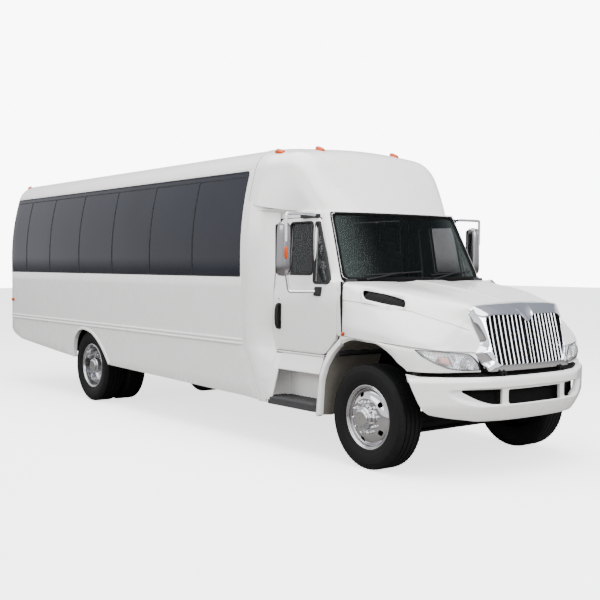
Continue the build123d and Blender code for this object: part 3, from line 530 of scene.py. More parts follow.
WINDOWS = {}
BAND_CORNERS = (0.02, 0.02, 0.05, 0.05)
for side, hand in SIDES:
    skin = side_skin(side)
    outline, front_seam, rails = side_outline, SEAMS[0], [(-8.385, SEAM_X)]
    if side > 0:
        (x0, x1), top = ENTRANCE
        outline = np.vstack([side_outline[:4], [(x1, 0.49), (x1, top), (x0, top), (x0, 0.51)],
            side_outline[4:]])
        front_seam = SEAMS[1] - 0.03
        rails = [(-8.385, x0 - 0.02), (x1 + 0.02, SEAM_X)]
    band = rounded_box((SEAMS[-1], front_seam), BAND_Z, BAND_CORNERS)
    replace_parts(panel(f"{hand}_side_panel", outline, [band], skin, 0.11, LINED, wall=0.028, rim=0.003),
        f"{hand}_side_wall")
    holes, panes = [], []
    for front, rear in zip(SEAMS, SEAMS[1:]):
        front = min(front, front_seam)
        if front - rear < 0.2:
            continue
        holes.append(rounded_box((rear + 0.03, front - 0.03), (BAND_Z[0] + 0.045, BAND_Z[1] - 0.06), 0.03))
        panes.append(((rear + 0.009, front - 0.009), (BAND_Z[0] + 0.018, BAND_Z[1] - 0.066)))
    panes.append(((SEAMS[-1] + 0.015, front_seam - 0.015), (BAND_Z[1] - 0.056, BAND_Z[1] - 0.014)))
    frame_line = rounded_box((SEAMS[-1] + 0.001, front_seam - 0.001),
        (BAND_Z[0] + 0.001, BAND_Z[1] - 0.001), BAND_CORNERS)
    panel(f"{hand}_window_cage", frame_line, holes, lambda x, z, h: skin(x, z, h - 0.011), 0.11, BLACK,
        wall=0.03)
    WINDOWS[hand] = [patch(skin, rounded_box(*pane, 0.006, 3), [], 0.11, -0.003) for pane in panes]
    seams = [rounded_box(*pane, 0.012, 3) for pane in panes[:-1]] + [rounded_box(*panes[-1], 0.006, 3)]
    panel(f"{hand}_window_rubber", frame_line, seams, lambda x, z, h: skin(x, z, h + 0.0005), 0.11, BLACK,
        wall=0.009)
    for index, (x0, x1) in enumerate(rails):
        line = np.column_stack([np.linspace(x0, x1, 90), np.full(90, 1.056)])
        fade = lambda x, z, h: skin(x, z, h * np.sqrt(share(x, x0, 0.02) * share(x1, x, 0.02)))
        build(f"{hand}_rub_rail_{index}", [bead(line, RAIL_PROFILE, fade, False)], WHITE)
    build(f"{hand}_arch_lip", [bead(arch_line[::-1], LIP_PROFILE, skin, False)], WHITE)
    around = np.linspace(0.13, np.pi - 0.24, 49)
    tub_rim = np.column_stack([-5.605 + 0.565 * np.cos(around), 0.515 + 0.535 * np.sin(around)])
    tub = xyz(tub_rim[:, :1], side * np.linspace(1.188, 0.53, 9), tub_rim[:, 1:])
    inner_wall = patch(lambda x, z, h: xyz(x, side * 0.53, z), tub_rim, [], 0.12)
    build(f"{hand}_wheel_tub", [net(tub), inner_wall], DARK, wall=0.004, inner=(-5.605, side * 0.9, 0.55))

x = np.append(np.linspace(SEAM_X - 0.003, -8.28, 40),
    -8.4 + REAR_ARC * (1 - np.sin(np.linspace(0, 0.585, 6))))
s = np.linspace(-1, 1, 81) * side_run(CANT_Z + 0.002)
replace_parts(build("roof_panel", [net(round_skin(x[:, None], s[None]))], LINED, wall=0.025),
    "passenger_roof")
turn = np.linspace(0.585, math.pi / 2, 14)
x = REAR_X + REAR_ARC * (1 - np.sin(turn))
foot = side_run(np.interp(x, [-8.4, -8.36], [0.905, 0.858]))
rear_edge = round_skin(np.maximum(x, REAR_X + 1e-6)[:, None], foot[:, None] * np.linspace(-1, 1, 141))
wall_line = round_skin(REAR_X + 1e-6, foot[-1] * np.linspace(-1, 1, 141))[:, 1:]
DOOR_GAP = rounded_box((-0.468, 0.468), (1.012, 2.558), 0.03)
back_wall = patch(lambda y, z, h: xyz(REAR_X, y, z), wall_line, [DOOR_GAP], 0.11)
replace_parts(build("rear_wall_panel", [net(rear_edge), back_wall], LINED, wall=0.03, join=2e-4), "rear_wall")

# ---- Side glazing.  Dark bonded panes with black seams and a narrow header pane over them; the
# same dark glass fills the doors.
tinted_glass = coat("dark_tinted_glass", (1.3, 1.0), (0.012, 0.013, 0.018), (0.02, 0.022, 0.03),
    (0.03, 0.02), Alpha=0.94, Specular_IOR_Level=0.13)
TINTED = ("tinted_glass", tinted_glass)
for hand, parts in WINDOWS.items():
    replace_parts(build(f"{hand}_side_panes", parts, TINTED, wall=0.006), f"{hand}_side_windows")

# ---- Front fairing.  One white moulding joins the body to the cab: a cap leans forward over the
# windscreen and two wings sweep in to the doors, with a strip over the joint to the body.
CAP_FOOT = 2.416


def section_gap(y, z):
    """Signed distance of (y, z) outside the body's section."""
    y = np.abs(y)
    lean = np.arctan2(z - BEND_Z, y - SIDE_Y + SIDE_ARC)
    rise = np.arctan2(z - crown_z, y)
    side_gap = np.hypot(y - SIDE_Y + SIDE_ARC, z - BEND_Z) - SIDE_ARC
    corner_gap = np.hypot(y - corner_y, z - corner_z) - CORNER_ARC
    crown_gap = np.hypot(y, z - crown_z) - crown_arc
    flat = np.where(lean < SIDE_TURN, np.maximum(side_gap, crown_gap), crown_gap)
    return np.where(rise > ROOF_TILT, flat, np.where(lean < SIDE_TURN, side_gap, corner_gap))


def cap_gap(x, y, z):
    """Signed distance outside the cap: the body's section, drawn in towards the front most at its
    foot, and a leaning front that is bowed at its foot, joined by a smooth maximum."""
    reach = np.clip(x - SEAM_X, 0.0, 1.2)
    late = reach - 0.16
    taper = 0.3235 * (late + np.sqrt(late ** 2 + 0.0036)) / 2
    grow = 1 - taper * (1 - 0.61 * share(z, CAP_FOOT, 0.6))
    body = section_gap(y / grow, z + 0.088 * reach) * grow
    bow = 0.116 * (y / 0.874) ** 2 * share(3.02, z, 0.6)
    front = (x + 1.312 - (3.1 - z) * 0.7924 + bow) * 0.784
    blend = 0.14 * np.clip(reach / 0.3, 0, 1)
    near = np.clip(blend - np.abs(body - front), 0, None)
    return np.maximum(body, front) + near ** 2 / (4 * np.maximum(blend, 1e-6))


def cap_reach(around, up):
    """Points of the cap in the directions (angle round from +Y through the front, angle up) from
    the middle of its foot, each found by halving the interval that holds the surface."""
    ray = xyz(np.sin(around) * np.cos(up), np.cos(around) * np.cos(up), np.sin(up))
    low, high = np.zeros(ray.shape[:-1]), np.full(ray.shape[:-1], 1.8)
    for _ in range(34):
        mid = (low + high) / 2
        p = ray * mid[..., None] + (SEAM_X, 0.0, CAP_FOOT)
        outside = cap_gap(p[..., 0], p[..., 1], p[..., 2]) > 0
        low, high = np.where(outside, low, mid), np.where(outside, mid, high)
    return ray * low[..., None] + (SEAM_X, 0.0, CAP_FOOT)


sweep = np.linspace(-1, 1, 141)
around = np.pi / 2 - np.pi / 2 * (0.35 * np.sin(sweep * np.pi / 2) + 0.65 * sweep)
around = np.clip(around, 0, np.pi)
edge_rise = 0.0885 * (1 - np.clip(np.minimum(around, np.pi - around) / 0.7, 0, 1)) ** 1.6
up = between(np.arctan(edge_rise), np.pi / 2 - 1e-4, np.linspace(0, 1, 80)[:, None])
cap_net = cap_reach(around + 0 * up, up)
cap_edge = cap_net[0]
inward = np.linspace(0, 1, 12)[:, None, None]
middle = np.array([-1.75, 0.0, 0.0])
soffit = cap_edge + inward * (middle - cap_edge * (1, 1, 0)) * (0.42, 0.42, 0)
soffit[..., 2] = cap_edge[:, 2] + 0.012 * np.sqrt(inward[..., 0])
build("cap_skin", [net(cap_net), net(soffit)], WHITE, join=2e-4, inner=(-1.6, 0.0, 2.6))


def wing_end(z):
    """Front edge of a wing: x and y at a height."""
    x = np.interp(z, [0.465, 0.59, 0.72, 0.9, 0.97, 1.03, 1.1, 1.22],
        [-1.447, -1.466, -1.44, -1.406, -1.392, -1.43, -1.466, -1.481])
    y = np.interp(z, [0.465, 0.59, 0.72, 0.9, 1.0, 1.6, 1.735, 2.05, 2.41, 2.6],
        [1.216, 1.213, 1.2, 1.152, 1.11, 1.096, 1.086, 1.046, 1.0, 0.97])
    return x, y


def wing_skin(side):
    """Wing surface at (part of the way forward, height up, height out): the body's side, drawn in
    to the cab's rear edge along an S."""
    sweep = smooth_line([(0, 0), (0.22, 0.015), (0.48, 0.24), (0.74, 0.66), (1, 1)], 120)

    def surface(p, z, height):
        x_end, y_end = wing_end(z)
        x_seam = SEAM_X + 0.003 + np.clip(1.03 - z, 0, 1) * 0.529
        base = side_skin(1)(x_seam, z, height)
        part = np.interp(p, sweep[:, 0], sweep[:, 1])
        y = base[..., 1] + (y_end + height - base[..., 1]) * part
        return xyz(x_seam + (x_end - x_seam) * p, side * y, z)
    return surface


p = np.linspace(0, 1, 33)
z = smooth_line([(0.465, 0), (0.9, 0), (1.2, 0), (2.3, 0), (2.53, 0)], 90)[:, 0]
for side, hand in SIDES:
    wing = wing_skin(side)(p[None], z[:, None], 0.0)
    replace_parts(build(f"{hand}_fairing_wing", [net(wing)], LINED, wall=0.02, rim=0.003), "front_cap")
foot = side_run(0.474)
s = np.linspace(-foot, foot, 240)
drop = np.clip(1.03 - (BEND_Z - (np.abs(s) - SIDE_RUN)), 0, 1)
seam_line = np.column_stack([SEAM_X + 0.018 + drop * 0.529, s])
strip = [(-0.017, -0.004), (-0.017, 0.003), (-0.014, 0.005), (0.014, 0.005), (0.017, 0.003),
    (0.017, -0.004)]
build("joint_strip", [bead(seam_line, strip, round_skin, False)], WHITE)
gap = [(-0.021, 0.0005), (0.021, 0.0005)]
build("joint_sealant", [bead(seam_line, gap, round_skin, False)], BLACK)

# ---- Cab.  Pressed steel: screen frame and pillars, roof, sills, door jambs and floor, painted
# white outside; the screen is bonded into a black rubber gasket with a bright bead.
SCREEN_Z = (1.735, 2.41)
SCREEN_TOP = 2.416
PILLAR_Q = 1.35               # |q| at the door's front edge
belt_line = smooth_line([(0.9, 1.092), (1.2, 1.103), (1.5, 1.1), (1.583, 1.095), (1.6, 1.087),
    (1.64, 1.083), (1.735, 1.075), (2.0, 1.042), (2.41, 0.989), (2.5, 0.978)], 200)


def cab_width(z):
    """Half width of the cab at a height."""
    return np.interp(z, belt_line[:, 0], belt_line[:, 1])


def door_front(z):
    """Front edge of the door's upper half, sloping back with height."""
    return -0.566 - (z - 1.735) * 0.397


def turn_in(z):
    """How far the side has turned in at the door's front edge: nothing below the belt."""
    return np.interp(z, [1.68, 1.735, 1.8], [0.0, 0.03, 0.058])


def cab_side(side):
    """Cab side at (x, z, height out); over the last 135 mm ahead of the door's front edge it turns
    in towards the screen, by a power of the distance, and moves back 1.3 times as far."""
    def surface(x, z, height):
        near = np.clip(1 - (door_front(z) - x) / 0.135, 0, 1) ** 1.15 * turn_in(z)
        return xyz(x - 1.3 * near, side * (cab_width(z) + height - near), z)
    return surface


def screen_skin(q, z, height=0.0):
    """Screen at (part of the half width, height up, height out): a fourth-power bow in plan that
    is straight in height; past 1 a quadratic curve goes round the pillar to the door's edge."""
    t = (z - SCREEN_Z[0]) / (SCREEN_Z[1] - SCREEN_Z[0])
    half = 0.947 - 0.097 * t
    y = np.clip(np.abs(q), 0, 1) * half
    x = -0.388 - 0.364 * t - (0.12 - 0.012 * t) * y ** 2 - (0.0678 - 0.0201 * t) * y ** 4
    r = share(np.abs(q), 1, PILLAR_Q - 1)
    edge_x = door_front(z) - 1.3 * turn_in(z)
    side_y = cab_width(z) - turn_in(z)
    knee_x = 0.5 * (x + edge_x) + 0.014
    knee_y = 0.5 * (half + side_y) + 0.012
    px = (1 - r) ** 2 * x + 2 * r * (1 - r) * knee_x + r ** 2 * edge_x
    py = (1 - r) ** 2 * half + 2 * r * (1 - r) * knee_y + r ** 2 * side_y
    out_x, out_y = 0.86 * (1 - r), 0.5 * r + 0.3 * np.abs(q) * (1 - r)
    x = np.where(r > 0, px, x) + height * out_x
    y = np.where(r > 0, py, y) + height * out_y
    return xyz(x, np.sign(q) * y, z + height * 0.35 * (1 - r))


SCREEN_HOLE = rounded_box((-0.99, 0.99), (1.748, 2.38), (0.07, 0.07, 0.055, 0.055), 9)
frame_edge = [(-PILLAR_Q, 1.66), (PILLAR_Q, 1.66), (PILLAR_Q, SCREEN_TOP), (-PILLAR_Q, SCREEN_TOP)]
CAB_CORE = (-1.1, 0.0, 1.6)
parts = [patch(screen_skin, frame_edge, [SCREEN_HOLE], 0.05)]
header = [(-0.806, 2.349), (-0.836, SCREEN_TOP), (-1.4835, SCREEN_TOP), (-1.4835, 2.349)]
parts += [patch(cab_side(side), header, [], 0.08) for side in (-1, 1)]
u, v = np.linspace(-1, 1, 41), np.linspace(0, 1, 15)[:, None, None]
front_line = screen_skin(u * PILLAR_Q, SCREEN_TOP - 0.004)
rear_line = xyz(-1.4835, u * 0.9885, SCREEN_TOP - 0.004)
parts.append(net(between(front_line, rear_line, v)))
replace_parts(build("cab_frame", parts, LINED, wall=0.03, rim=0.002, inner=CAB_CORE), "cab_shell")
DOOR_EDGE = [(-0.463, 1.215), (-0.463, 1.64), (-0.566, 1.722), (-0.812, 2.342), (-1.475, 2.342),
    (-1.475, 1.04), (-1.455, 1.008), (-0.64, 1.008), (-0.475, 1.165)]


def grown(outline, amount):
    """Outline with every side moved outwards by an amount."""
    p = np.array(outline, float)
    u, v = unit(p - np.roll(p, 1, 0)), unit(np.roll(p, -1, 0) - p)
    turn = np.sign(np.sum(np.roll(p, 1, 0)[:, 0] * p[:, 1] - p[:, 0] * np.roll(p, 1, 0)[:, 1]))
    reach = np.broadcast_to(amount, len(p)) * turn / (1 + np.sum(u * v, axis=1))
    return p + np.column_stack([u[:, 1] + v[:, 1], -u[:, 0] - v[:, 0]]) * reach[:, None]


for side, hand in SIDES:
    jamb = lambda x, z, h: cab_side(side)(x, z, h - 0.046)
    panel(f"{hand}_door_jamb", rounded(grown(DOOR_EDGE, 0.022), 0.03),
        [rounded(grown(DOOR_EDGE, -0.035), 0.06)], jamb, 0.1, LINED, wall=0.03, rim=0.004)
    seal = rounded(grown(DOOR_EDGE, -0.004), 0.03)
    build(f"{hand}_door_seal", [bead(spaced(seal, 0.04), [(-0.009, 0.0), (-0.006, 0.009), (0, 0.012),
        (0.006, 0.009), (0.009, 0.0)], lambda x, z, h: jamb(x, z, h + 0.001))], BLACK)
x, s = np.linspace(-1.53, -0.46, 24), np.linspace(-1, 1, 41)
pan = xyz(x[:, None], s * 1.07, 1.004 + 0 * s)
wall_z = np.linspace(1.004, 1.7, 16)[:, None]
toe = xyz(-0.46 + 0 * wall_z * s, s * 1.055, wall_z)
build("cab_floor", [net(pan), net(toe)], ("grey_floor", grey_lining), wall=0.012, inner=CAB_CORE)
for side, hand in SIDES:
    z = np.array([0.975, 0.985, 0.999, 1.003])
    y = np.array([1.085, 1.097, 1.097, 1.07])
    sill = xyz(np.linspace(-1.48, -0.652, 12)[:, None], side * y, z)
    build(f"{hand}_sill", [net(sill)], WHITE, wall=0.006)

glass_paint = Paint("clear_screen_glass")
haze = glass_paint.grain(2.0, 1.0)
across = glass_paint.node("ShaderNodeSeparateXYZ", None, {"Vector": glass_paint.place()})["Y"]
# The glass's colour is lighter green-grey towards its two sides: a painted reflection.
painted_edge_reflection = glass_paint.node("ShaderNodeMapRange", {"interpolation_type": "SMOOTHSTEP"},
    {"Value": across * across, "From Min": 0.16, "From Max": 0.95})
screen_glass = glass_paint.finish(Base_Color=glass_paint.blend(painted_edge_reflection, (0.003, 0.004, 0.004),
    (0.04, 0.053, 0.05)), Roughness=0.2 + haze * 0.05, Alpha=0.58, Specular_IOR_Level=0.07)
door_glass = coat("green_door_glass", (2.0, 1.0), (0.018, 0.023, 0.023), (0.026, 0.032, 0.031),
    (0.02, 0.01), Alpha=0.26, Specular_IOR_Level=0.7)
SCREEN_CORE = (-1.1, 0.0, 1.9)
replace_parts(build("screen_pane", [patch(screen_skin, grown(SCREEN_HOLE, 0.004), [], 0.06, -0.01)],
    ("clear_glass", screen_glass), wall=0.006, inner=SCREEN_CORE), "windshield")
hole_loop = spaced(SCREEN_HOLE, 0.05)


def stretched(q, low, high):
    """The gasket's loop stretched to reach q out and the two heights."""
    return np.column_stack([hole_loop[:, 0] * q / 0.99,
        np.interp(hole_loop[:, 1], [1.748, 2.38], [low, high])])


wide, narrow = stretched(1.062, 1.716, 2.402), stretched(0.966, 1.757, 2.372)
rings = np.linspace(0, 1, 9)[:, None, None]
gasket = between(wide, narrow, rings)
swell = np.interp(rings[..., 0], [0, 0.08, 0.3, 0.5, 0.8, 1], [-0.002, 0.007, 0.012, 0.012, 0.008, -0.01])
build("screen_gasket", [net(screen_skin(gasket[..., 0], gasket[..., 1], swell), False, True)], DARK,
    wall=0.004, inner=SCREEN_CORE)
bright_chrome = coat("bright_plated_metal", (5.0, 3.0), (0.7, 0.71, 0.74), (0.78, 0.79, 0.81), (0.05, 0.05),
    ((260.0,), 0.03, 0.0004), Metallic=1.0)
BRIGHT = ("bright_metal", bright_chrome)
upright = np.abs(wide[:, 0]) > 1.0
strips = net_faces(4, len(wide), False, True)
bead_at = np.stack([between(wide, narrow, a) for a in (0.44, 0.48, 0.52, 0.56)])
build("screen_bright_bead",
    [(screen_skin(bead_at[..., 0], bead_at[..., 1], np.array([0.011, 0.0145, 0.0145, 0.011])[:, None]),
    strips[upright[strips % len(wide)].all(1)])], BRIGHT, inner=SCREEN_CORE)
for side, hand in SIDES:
    edge = cap_edge[(cap_edge[:, 1] * side > 0.3) & (cap_edge[:, 0] < -1.0)] * (1, 1, 0) + (0.0,
        -0.012 * side, 2.44)
    foot = xyz(edge[:, 0], side * (cab_width(2.4) - 0.006), 2.398)
    skirt = between(edge, foot, np.linspace(0, 1, 6)[:, None, None])
    build(f"{hand}_cap_skirt", [net(skirt)], WHITE, wall=0.004, inner=(-1.2, 0, 2.4))
back = screen_skin(np.linspace(-1.0, 1.0, 61), 1.728)
tray = between(back, back + (0.1, 0.0, -0.07), np.linspace(0, 1, 8)[:, None, None])
build("wiper_tray", [net(tray)], DARK, wall=0.004, inner=(-1.1, 0, 1.5))


def pipe(line, radius, sides=14, up=(0.0, 0.0, 1.0), across=1.0):
    """Round bar along a line: circles in the plane of the line's normals, closed at both ends."""
    line = np.asarray(line, float)
    step = unit(np.gradient(line, axis=0))
    side = unit(np.cross(step, up))
    over = np.cross(side, step)
    turn = turns(sides)[None, :, None]
    radius = np.broadcast_to(radius, len(line))[:, None, None]
    rings = line[:, None] + radius * (np.cos(turn) * side[:, None] * across + np.sin(turn) * over[:, None])
    return stacked(rings)


def stacked(rings):
    """Closed surface through a stack of closed rings, its two ends filled."""
    count, sides = rings.shape[:2]
    faces = net_faces(count, sides, False, True).tolist()
    faces += [list(range(sides))[::-1], list(range((count - 1) * sides, count * sides))]
    return rings.reshape(-1, 3), faces


def raised(surface, outline, layers):
    """Closed block on a surface: the outline, grown by the first number of each layer, lies at the
    height that the second gives."""
    return stacked(np.stack([surface(*grown(outline, more).T, height) for more, height in layers]))


def faced_out(piece):
    """The piece with the faces of each closed surface turned outwards."""
    work = bmesh.new()
    work.from_mesh(piece.data)
    bmesh.ops.recalc_face_normals(work, faces=work.faces)
    work.to_mesh(piece.data)
    work.free()
    return piece


def solid(name, shapes, look, body="root", **how):
    """Piece from several closed surfaces, each turned outwards by itself."""
    return faced_out(build(name, shapes, look, body, **how))


def bent(points, radius):
    """Open path with its corners rounded by parabolas that start the radius before each."""
    p = np.array(points, float)
    a, b, c = p[:-2], p[1:-1], p[2:]
    before = b + unit(a - b) * radius
    after = b + unit(c - b) * radius
    t = np.linspace(0, 1, 6)[None, :, None]
    corners = ((1 - t) ** 2 * before[:, None] + 2 * t * (1 - t) * b[:, None]
        + t ** 2 * after[:, None]).reshape(-1, p.shape[1])
    return np.vstack([p[:1], corners, p[-1:]])


# Wipers: two black arms parked at the foot of the screen.
for index, (q0, q1) in enumerate(((-0.78, -0.02), (0.1, 0.86))):
    t = np.linspace(0, 1, 26)
    blade = screen_skin(q0 + (q1 - q0) * t, 1.768 + 0.035 * t, 0.016)
    arm = screen_skin(q0 + 0.02 + (q1 - q0) * 0.5 * t, 1.725 + 0.06 * t, 0.026)
    boss = screen_skin(np.array([q0 + 0.01, q0 + 0.03]), 1.722, 0.02)
    solid(f"wiper_{index}", [pipe(blade, 0.0065, 8), pipe(arm, 0.0085 - 0.003 * t, 8),
        pipe(boss, 0.016, 12)], BLACK)

# ---- Cab doors.  One steel skin each, hung at the front edge, with a drop glass and a fixed
# quarter glass in black rubber, a black pull handle, and a steel inner panel with grey trim.
MAIN_PANE = [(-0.876, 1.788), (-0.948, 2.292), (-1.3, 2.292), (-1.262, 1.788)]
VENT_PANE = [(-0.598, 1.704), (-0.86, 2.288), (-0.888, 2.288), (-0.836, 1.704)]
COWL = [(-0.4615, 1.215), (-0.4615, 1.64), (-0.54, 1.7035), (-0.428, 1.722), (-0.419, 1.7), (-0.403, 1.541),
    (-0.391, 1.39), (-0.376, 1.222), (-0.4, 1.196)]
GRIP_AT = -1.372              # middle of the pull handle and lock, ahead of the front axle
for side, hand in SIDES:
    body = f"{hand}_cab_door"
    skin = cab_side(side)
    main_hole = rounded(MAIN_PANE, 0.035)
    vent_hole = rounded(VENT_PANE, (0.05, 0.005, 0.005, 0.03))
    door_line = rounded(DOOR_EDGE, (0.03, 0.03, 0.03, 0.05, 0.05, 0.016, 0.016, 0.05, 0.03))
    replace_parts(panel(f"{hand}_door_skin", door_line, [grown(main_hole, 0.006), grown(vent_hole, 0.003)],
        skin, 0.06, LINED, body, wall=0.036, rim=0.003), f"{hand}_cab_door")
    panes = [patch(skin, hole, [], 0.08, -0.016) for hole in (main_hole, vent_hole)]
    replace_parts(build(f"{hand}_door_panes", panes, ("clear_glass", door_glass), body, wall=0.005),
        f"{hand}_door_glass")
    rubbers = []
    steps = np.linspace(0, 1, 7)[:, None]
    for hole in (main_hole, vent_hole):
        out = between(grown(hole, 0.019), grown(hole, -0.006), steps[..., None])
        if hole is vent_hole:
            slope = -0.598 - (hole[:, 1] - 1.704) * 0.449
            lead = np.clip(1 - (slope - hole[:, 0]) / 0.03, 0, 1) * share(hole[:, 1], 1.7, 0.03)
            out[..., 0] += (1 - steps) * lead * 0.03
        rise = np.interp(steps, [0, 0.17, 0.5, 0.84, 1], [-0.001, 0.006, 0.007, 0.004, -0.016])
        rubbers.append(net(skin(out[..., 0], out[..., 1], rise), False, True))
    build(f"{hand}_window_rubbers", rubbers, BLACK, body, wall=0.004)
    t = np.linspace(0, 1, 25)
    grip = xyz(GRIP_AT, 1.118 + 0.022 * np.sin(np.pi * t) ** 0.35, 1.232 + 0.236 * t) * (1, side, 1)
    plate = rounded_box((-1.408, -1.336), (1.218, 1.484), 0.02)
    solid(f"{hand}_door_pull", [pipe(grip, 0.021 - 0.004 * np.abs(2 * t - 1) ** 4, 14, up=AHEAD),
        raised(skin, plate, ((0, -0.002), (0, 0.008), (-0.004, 0.011)))], BLACK, body)
    lock = skin(np.array([GRIP_AT, GRIP_AT]), 1.53, np.array([-0.002, 0.006]))
    solid(f"{hand}_door_lock", [pipe(lock, np.array([0.013, 0.01]), 16)], BRIGHT, body)
    trim_edge = [(-0.53, 1.2), (-0.53, 1.6), (-0.6, 1.7), (-1.42, 1.7), (-1.42, 1.08), (-0.66, 1.08)]
    panel(f"{hand}_door_trim", rounded(trim_edge, 0.04), [], lambda x, z, h: skin(x, z, -0.038 - h), 0.1,
        ("black_plastic", [black_trim, grey_lining]), body, wall=-0.014, rim=0.004)
    rest = xyz(np.linspace(-0.75, -1.25, 20), side, 1.42 + 0.02 * np.sin(np.linspace(0, np.pi, 20)))
    solid(f"{hand}_arm_rest", [pipe(rest, 0.032, 12)], BLACK, body)

# ---- Mirrors.  A plated shell on a loop of stainless tube from two black feet on the cab, with
# a flat glass over a convex one facing back and an amber repeater on the front.
amber_lens = coat("amber_lens", ("ribs", 60.0), (0.42, 0.04, 0.0005), (0.58, 0.075, 0.001), (0.22, 0.06),
    (None, 0.3, 0.001), Specular_IOR_Level=0.2)
AMBER = ("amber_lens", amber_lens)
mirror_silver = coat("mirror_silver", (4.0,), (0.72, 0.74, 0.76), (0.78, 0.8, 0.82), 0.015, Metallic=1.0)
plated_shell = coat("plated_mirror_shell", (7.0, 2.0), (0.25, 0.24, 0.25), (0.31, 0.3, 0.31), (0.16, 0.06),
    Metallic=1.0)
t = np.linspace(-1, 1, 61)[:, None]
end = np.maximum((1 - np.abs(t) ** 9) ** (1 / 2.6), 0.02)
cx, sy = np.cos(turns(48)), np.sin(turns(48))
depth = np.where(cx > 0, 0.062 * end ** 0.7, 0.028 * np.minimum(end * 1.2, 1))
shell_x = -0.988 + depth * 1.3 * signed(cx, 0.8)
shell_y = 1.345 + (0.066 - 0.006 * t) * end * signed(sy, 0.62)
RIM_LAYERS = ((-1.012, 0.002), (-1.03, 0.001), (-1.037, -0.004), (-1.037, -0.01), (-1.03, -0.012))
for side, hand in SIDES:
    body = f"{hand}_cab_door"
    skin, across = cab_side(side), (1.0, side, 1.0)
    shell = stacked(xyz(shell_x, side * shell_y, 2.028 + 0.268 * t))
    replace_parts(solid(f"{hand}_mirror_shell", [shell], ("mirror_shell", plated_shell), body, crease=60.0),
        f"{hand}_mirror")
    rim = rounded_box((1.287, 1.405), (1.785, 2.272), 0.03)
    rim_rings = np.stack([xyz(x, side * grown(rim, more)[:, 0], grown(rim, more)[:, 1])
        for x, more in RIM_LAYERS])
    solid(f"{hand}_mirror_rim", [stacked(rim_rings)], BLACK, body)
    for label, low, high, swell in (("glass", 1.96, 2.258, 0.0), ("convex_glass", 1.8, 1.945, 0.006)):
        bulged = lambda y, z, h: xyz(-1.0312 - swell * (1 - ((2 * z - low - high) / (high - low)) ** 2),
            side * y, z)
        pane = patch(bulged, rounded_box((1.302, 1.392), (low, high), 0.018), [], 0.02)
        build(f"{hand}_mirror_{label}", [pane], ("bright_metal", mirror_silver), body,
            inner=(-0.5, side * 1.35, 2.0))
    loop = bent([(-0.905, 1.01, 2.366), (-0.905, 1.05, 2.372), (-0.905, 1.368, 2.372),
        (-0.905, 1.368, 2.1)], 0.02)
    twin = loop[:-2] + (-0.035, -0.02, 0.0)
    lower = bent([(-0.775, 1.085, 1.612), (-0.925, 1.318, 1.612), (-0.945, 1.338, 1.8)], 0.03)
    solid(f"{hand}_mirror_tubes", [pipe(loop * across, 0.0145, 12, up=AHEAD), pipe(twin * across, 0.0095,
        10, up=AHEAD), pipe(lower * across, 0.0155, 12, up=(1.0, 0.1, 0.0))], BRIGHT, body)
    foot = rounded_box((-1.12, -0.83), (2.338, 2.38), 0.014)
    low_foot = rounded_box((-0.8, -0.704), (1.572, 1.662), 0.012)
    solid(f"{hand}_mirror_feet", [raised(skin, foot, ((0, 0.0), (0, 0.028), (-0.004, 0.036))),
        raised(skin, low_foot, ((0, -0.006), (0, 0.016), (-0.004, 0.022), (-0.01, 0.026)))], BLACK, body)
    if side < 0:
        lens_line = xyz(-0.908, side * 1.366, np.linspace(1.925, 2.055, 15))
        swell = 0.019 * (1 - np.abs(np.linspace(-1, 1, 15)) ** 3) ** 0.5 + 0.001
        solid(f"{hand}_mirror_repeater", [pipe(lens_line, swell, 14, up=AHEAD, across=0.9)], AMBER, body)
    build(f"{hand}_cowl_side", [patch(skin, COWL, [], 0.05)], LINED, wall=0.03, rim=0.003)
    gap_z = np.linspace(1.214, 1.716, 30)
    gap_x = np.interp(gap_z, [1.225, 1.383, 1.541, 1.714], [-0.368, -0.383, -0.395, -0.415])
    strip = [(-0.014, -0.012), (-0.012, 0.005), (0.0, 0.008), (0.006, 0.004), (0.007, -0.012)]
    strip = np.stack([skin(gap_x + ahead, gap_z, height) for ahead, height in strip])
    build(f"{hand}_hood_seal", [net(strip)], DARK, wall=0.003, inner=(-0.4, 0, 1.4))

# ---- Entry steps.  A white moulding under each cab door with a recess over a black ribbed
# tread, a flange that meets the fairing, and a leg that finishes the wheel arch.
step_black = coat("black_ribbed_step", ("cells", 45.0, "SMOOTH_F1"), (0.012, 0.012, 0.013),
    (0.035, 0.035, 0.036), (0.5, 0.3), (None, 0.6, 0.003))
ARCH_RIM = smooth_line([(-0.6, 0.432), (-0.596, 0.62), (-0.588, 0.75), (-0.568, 0.841), (-0.537, 0.935),
    (-0.49, 1.021), (-0.425, 1.093), (-0.33, 1.152), (-0.22, 1.184), (-0.1, 1.193), (0.05, 1.192),
    (0.17, 1.178), (0.27, 1.143), (0.36, 1.092), (0.44, 1.03), (0.5, 0.985), (0.525, 0.958)], 160)
LEG = np.vstack([ARCH_RIM[ARCH_RIM[:, 0] < -0.385], [(-0.374, 1.205), (-0.4, 1.194), (-0.47, 1.125),
    (-0.56, 1.034), (-0.604, 0.93), (-0.63, 0.807), (-0.65, 0.62), (-0.668, 0.428), (-0.64, 0.418)]])
TREAD_Z = (0.452, 0.535)
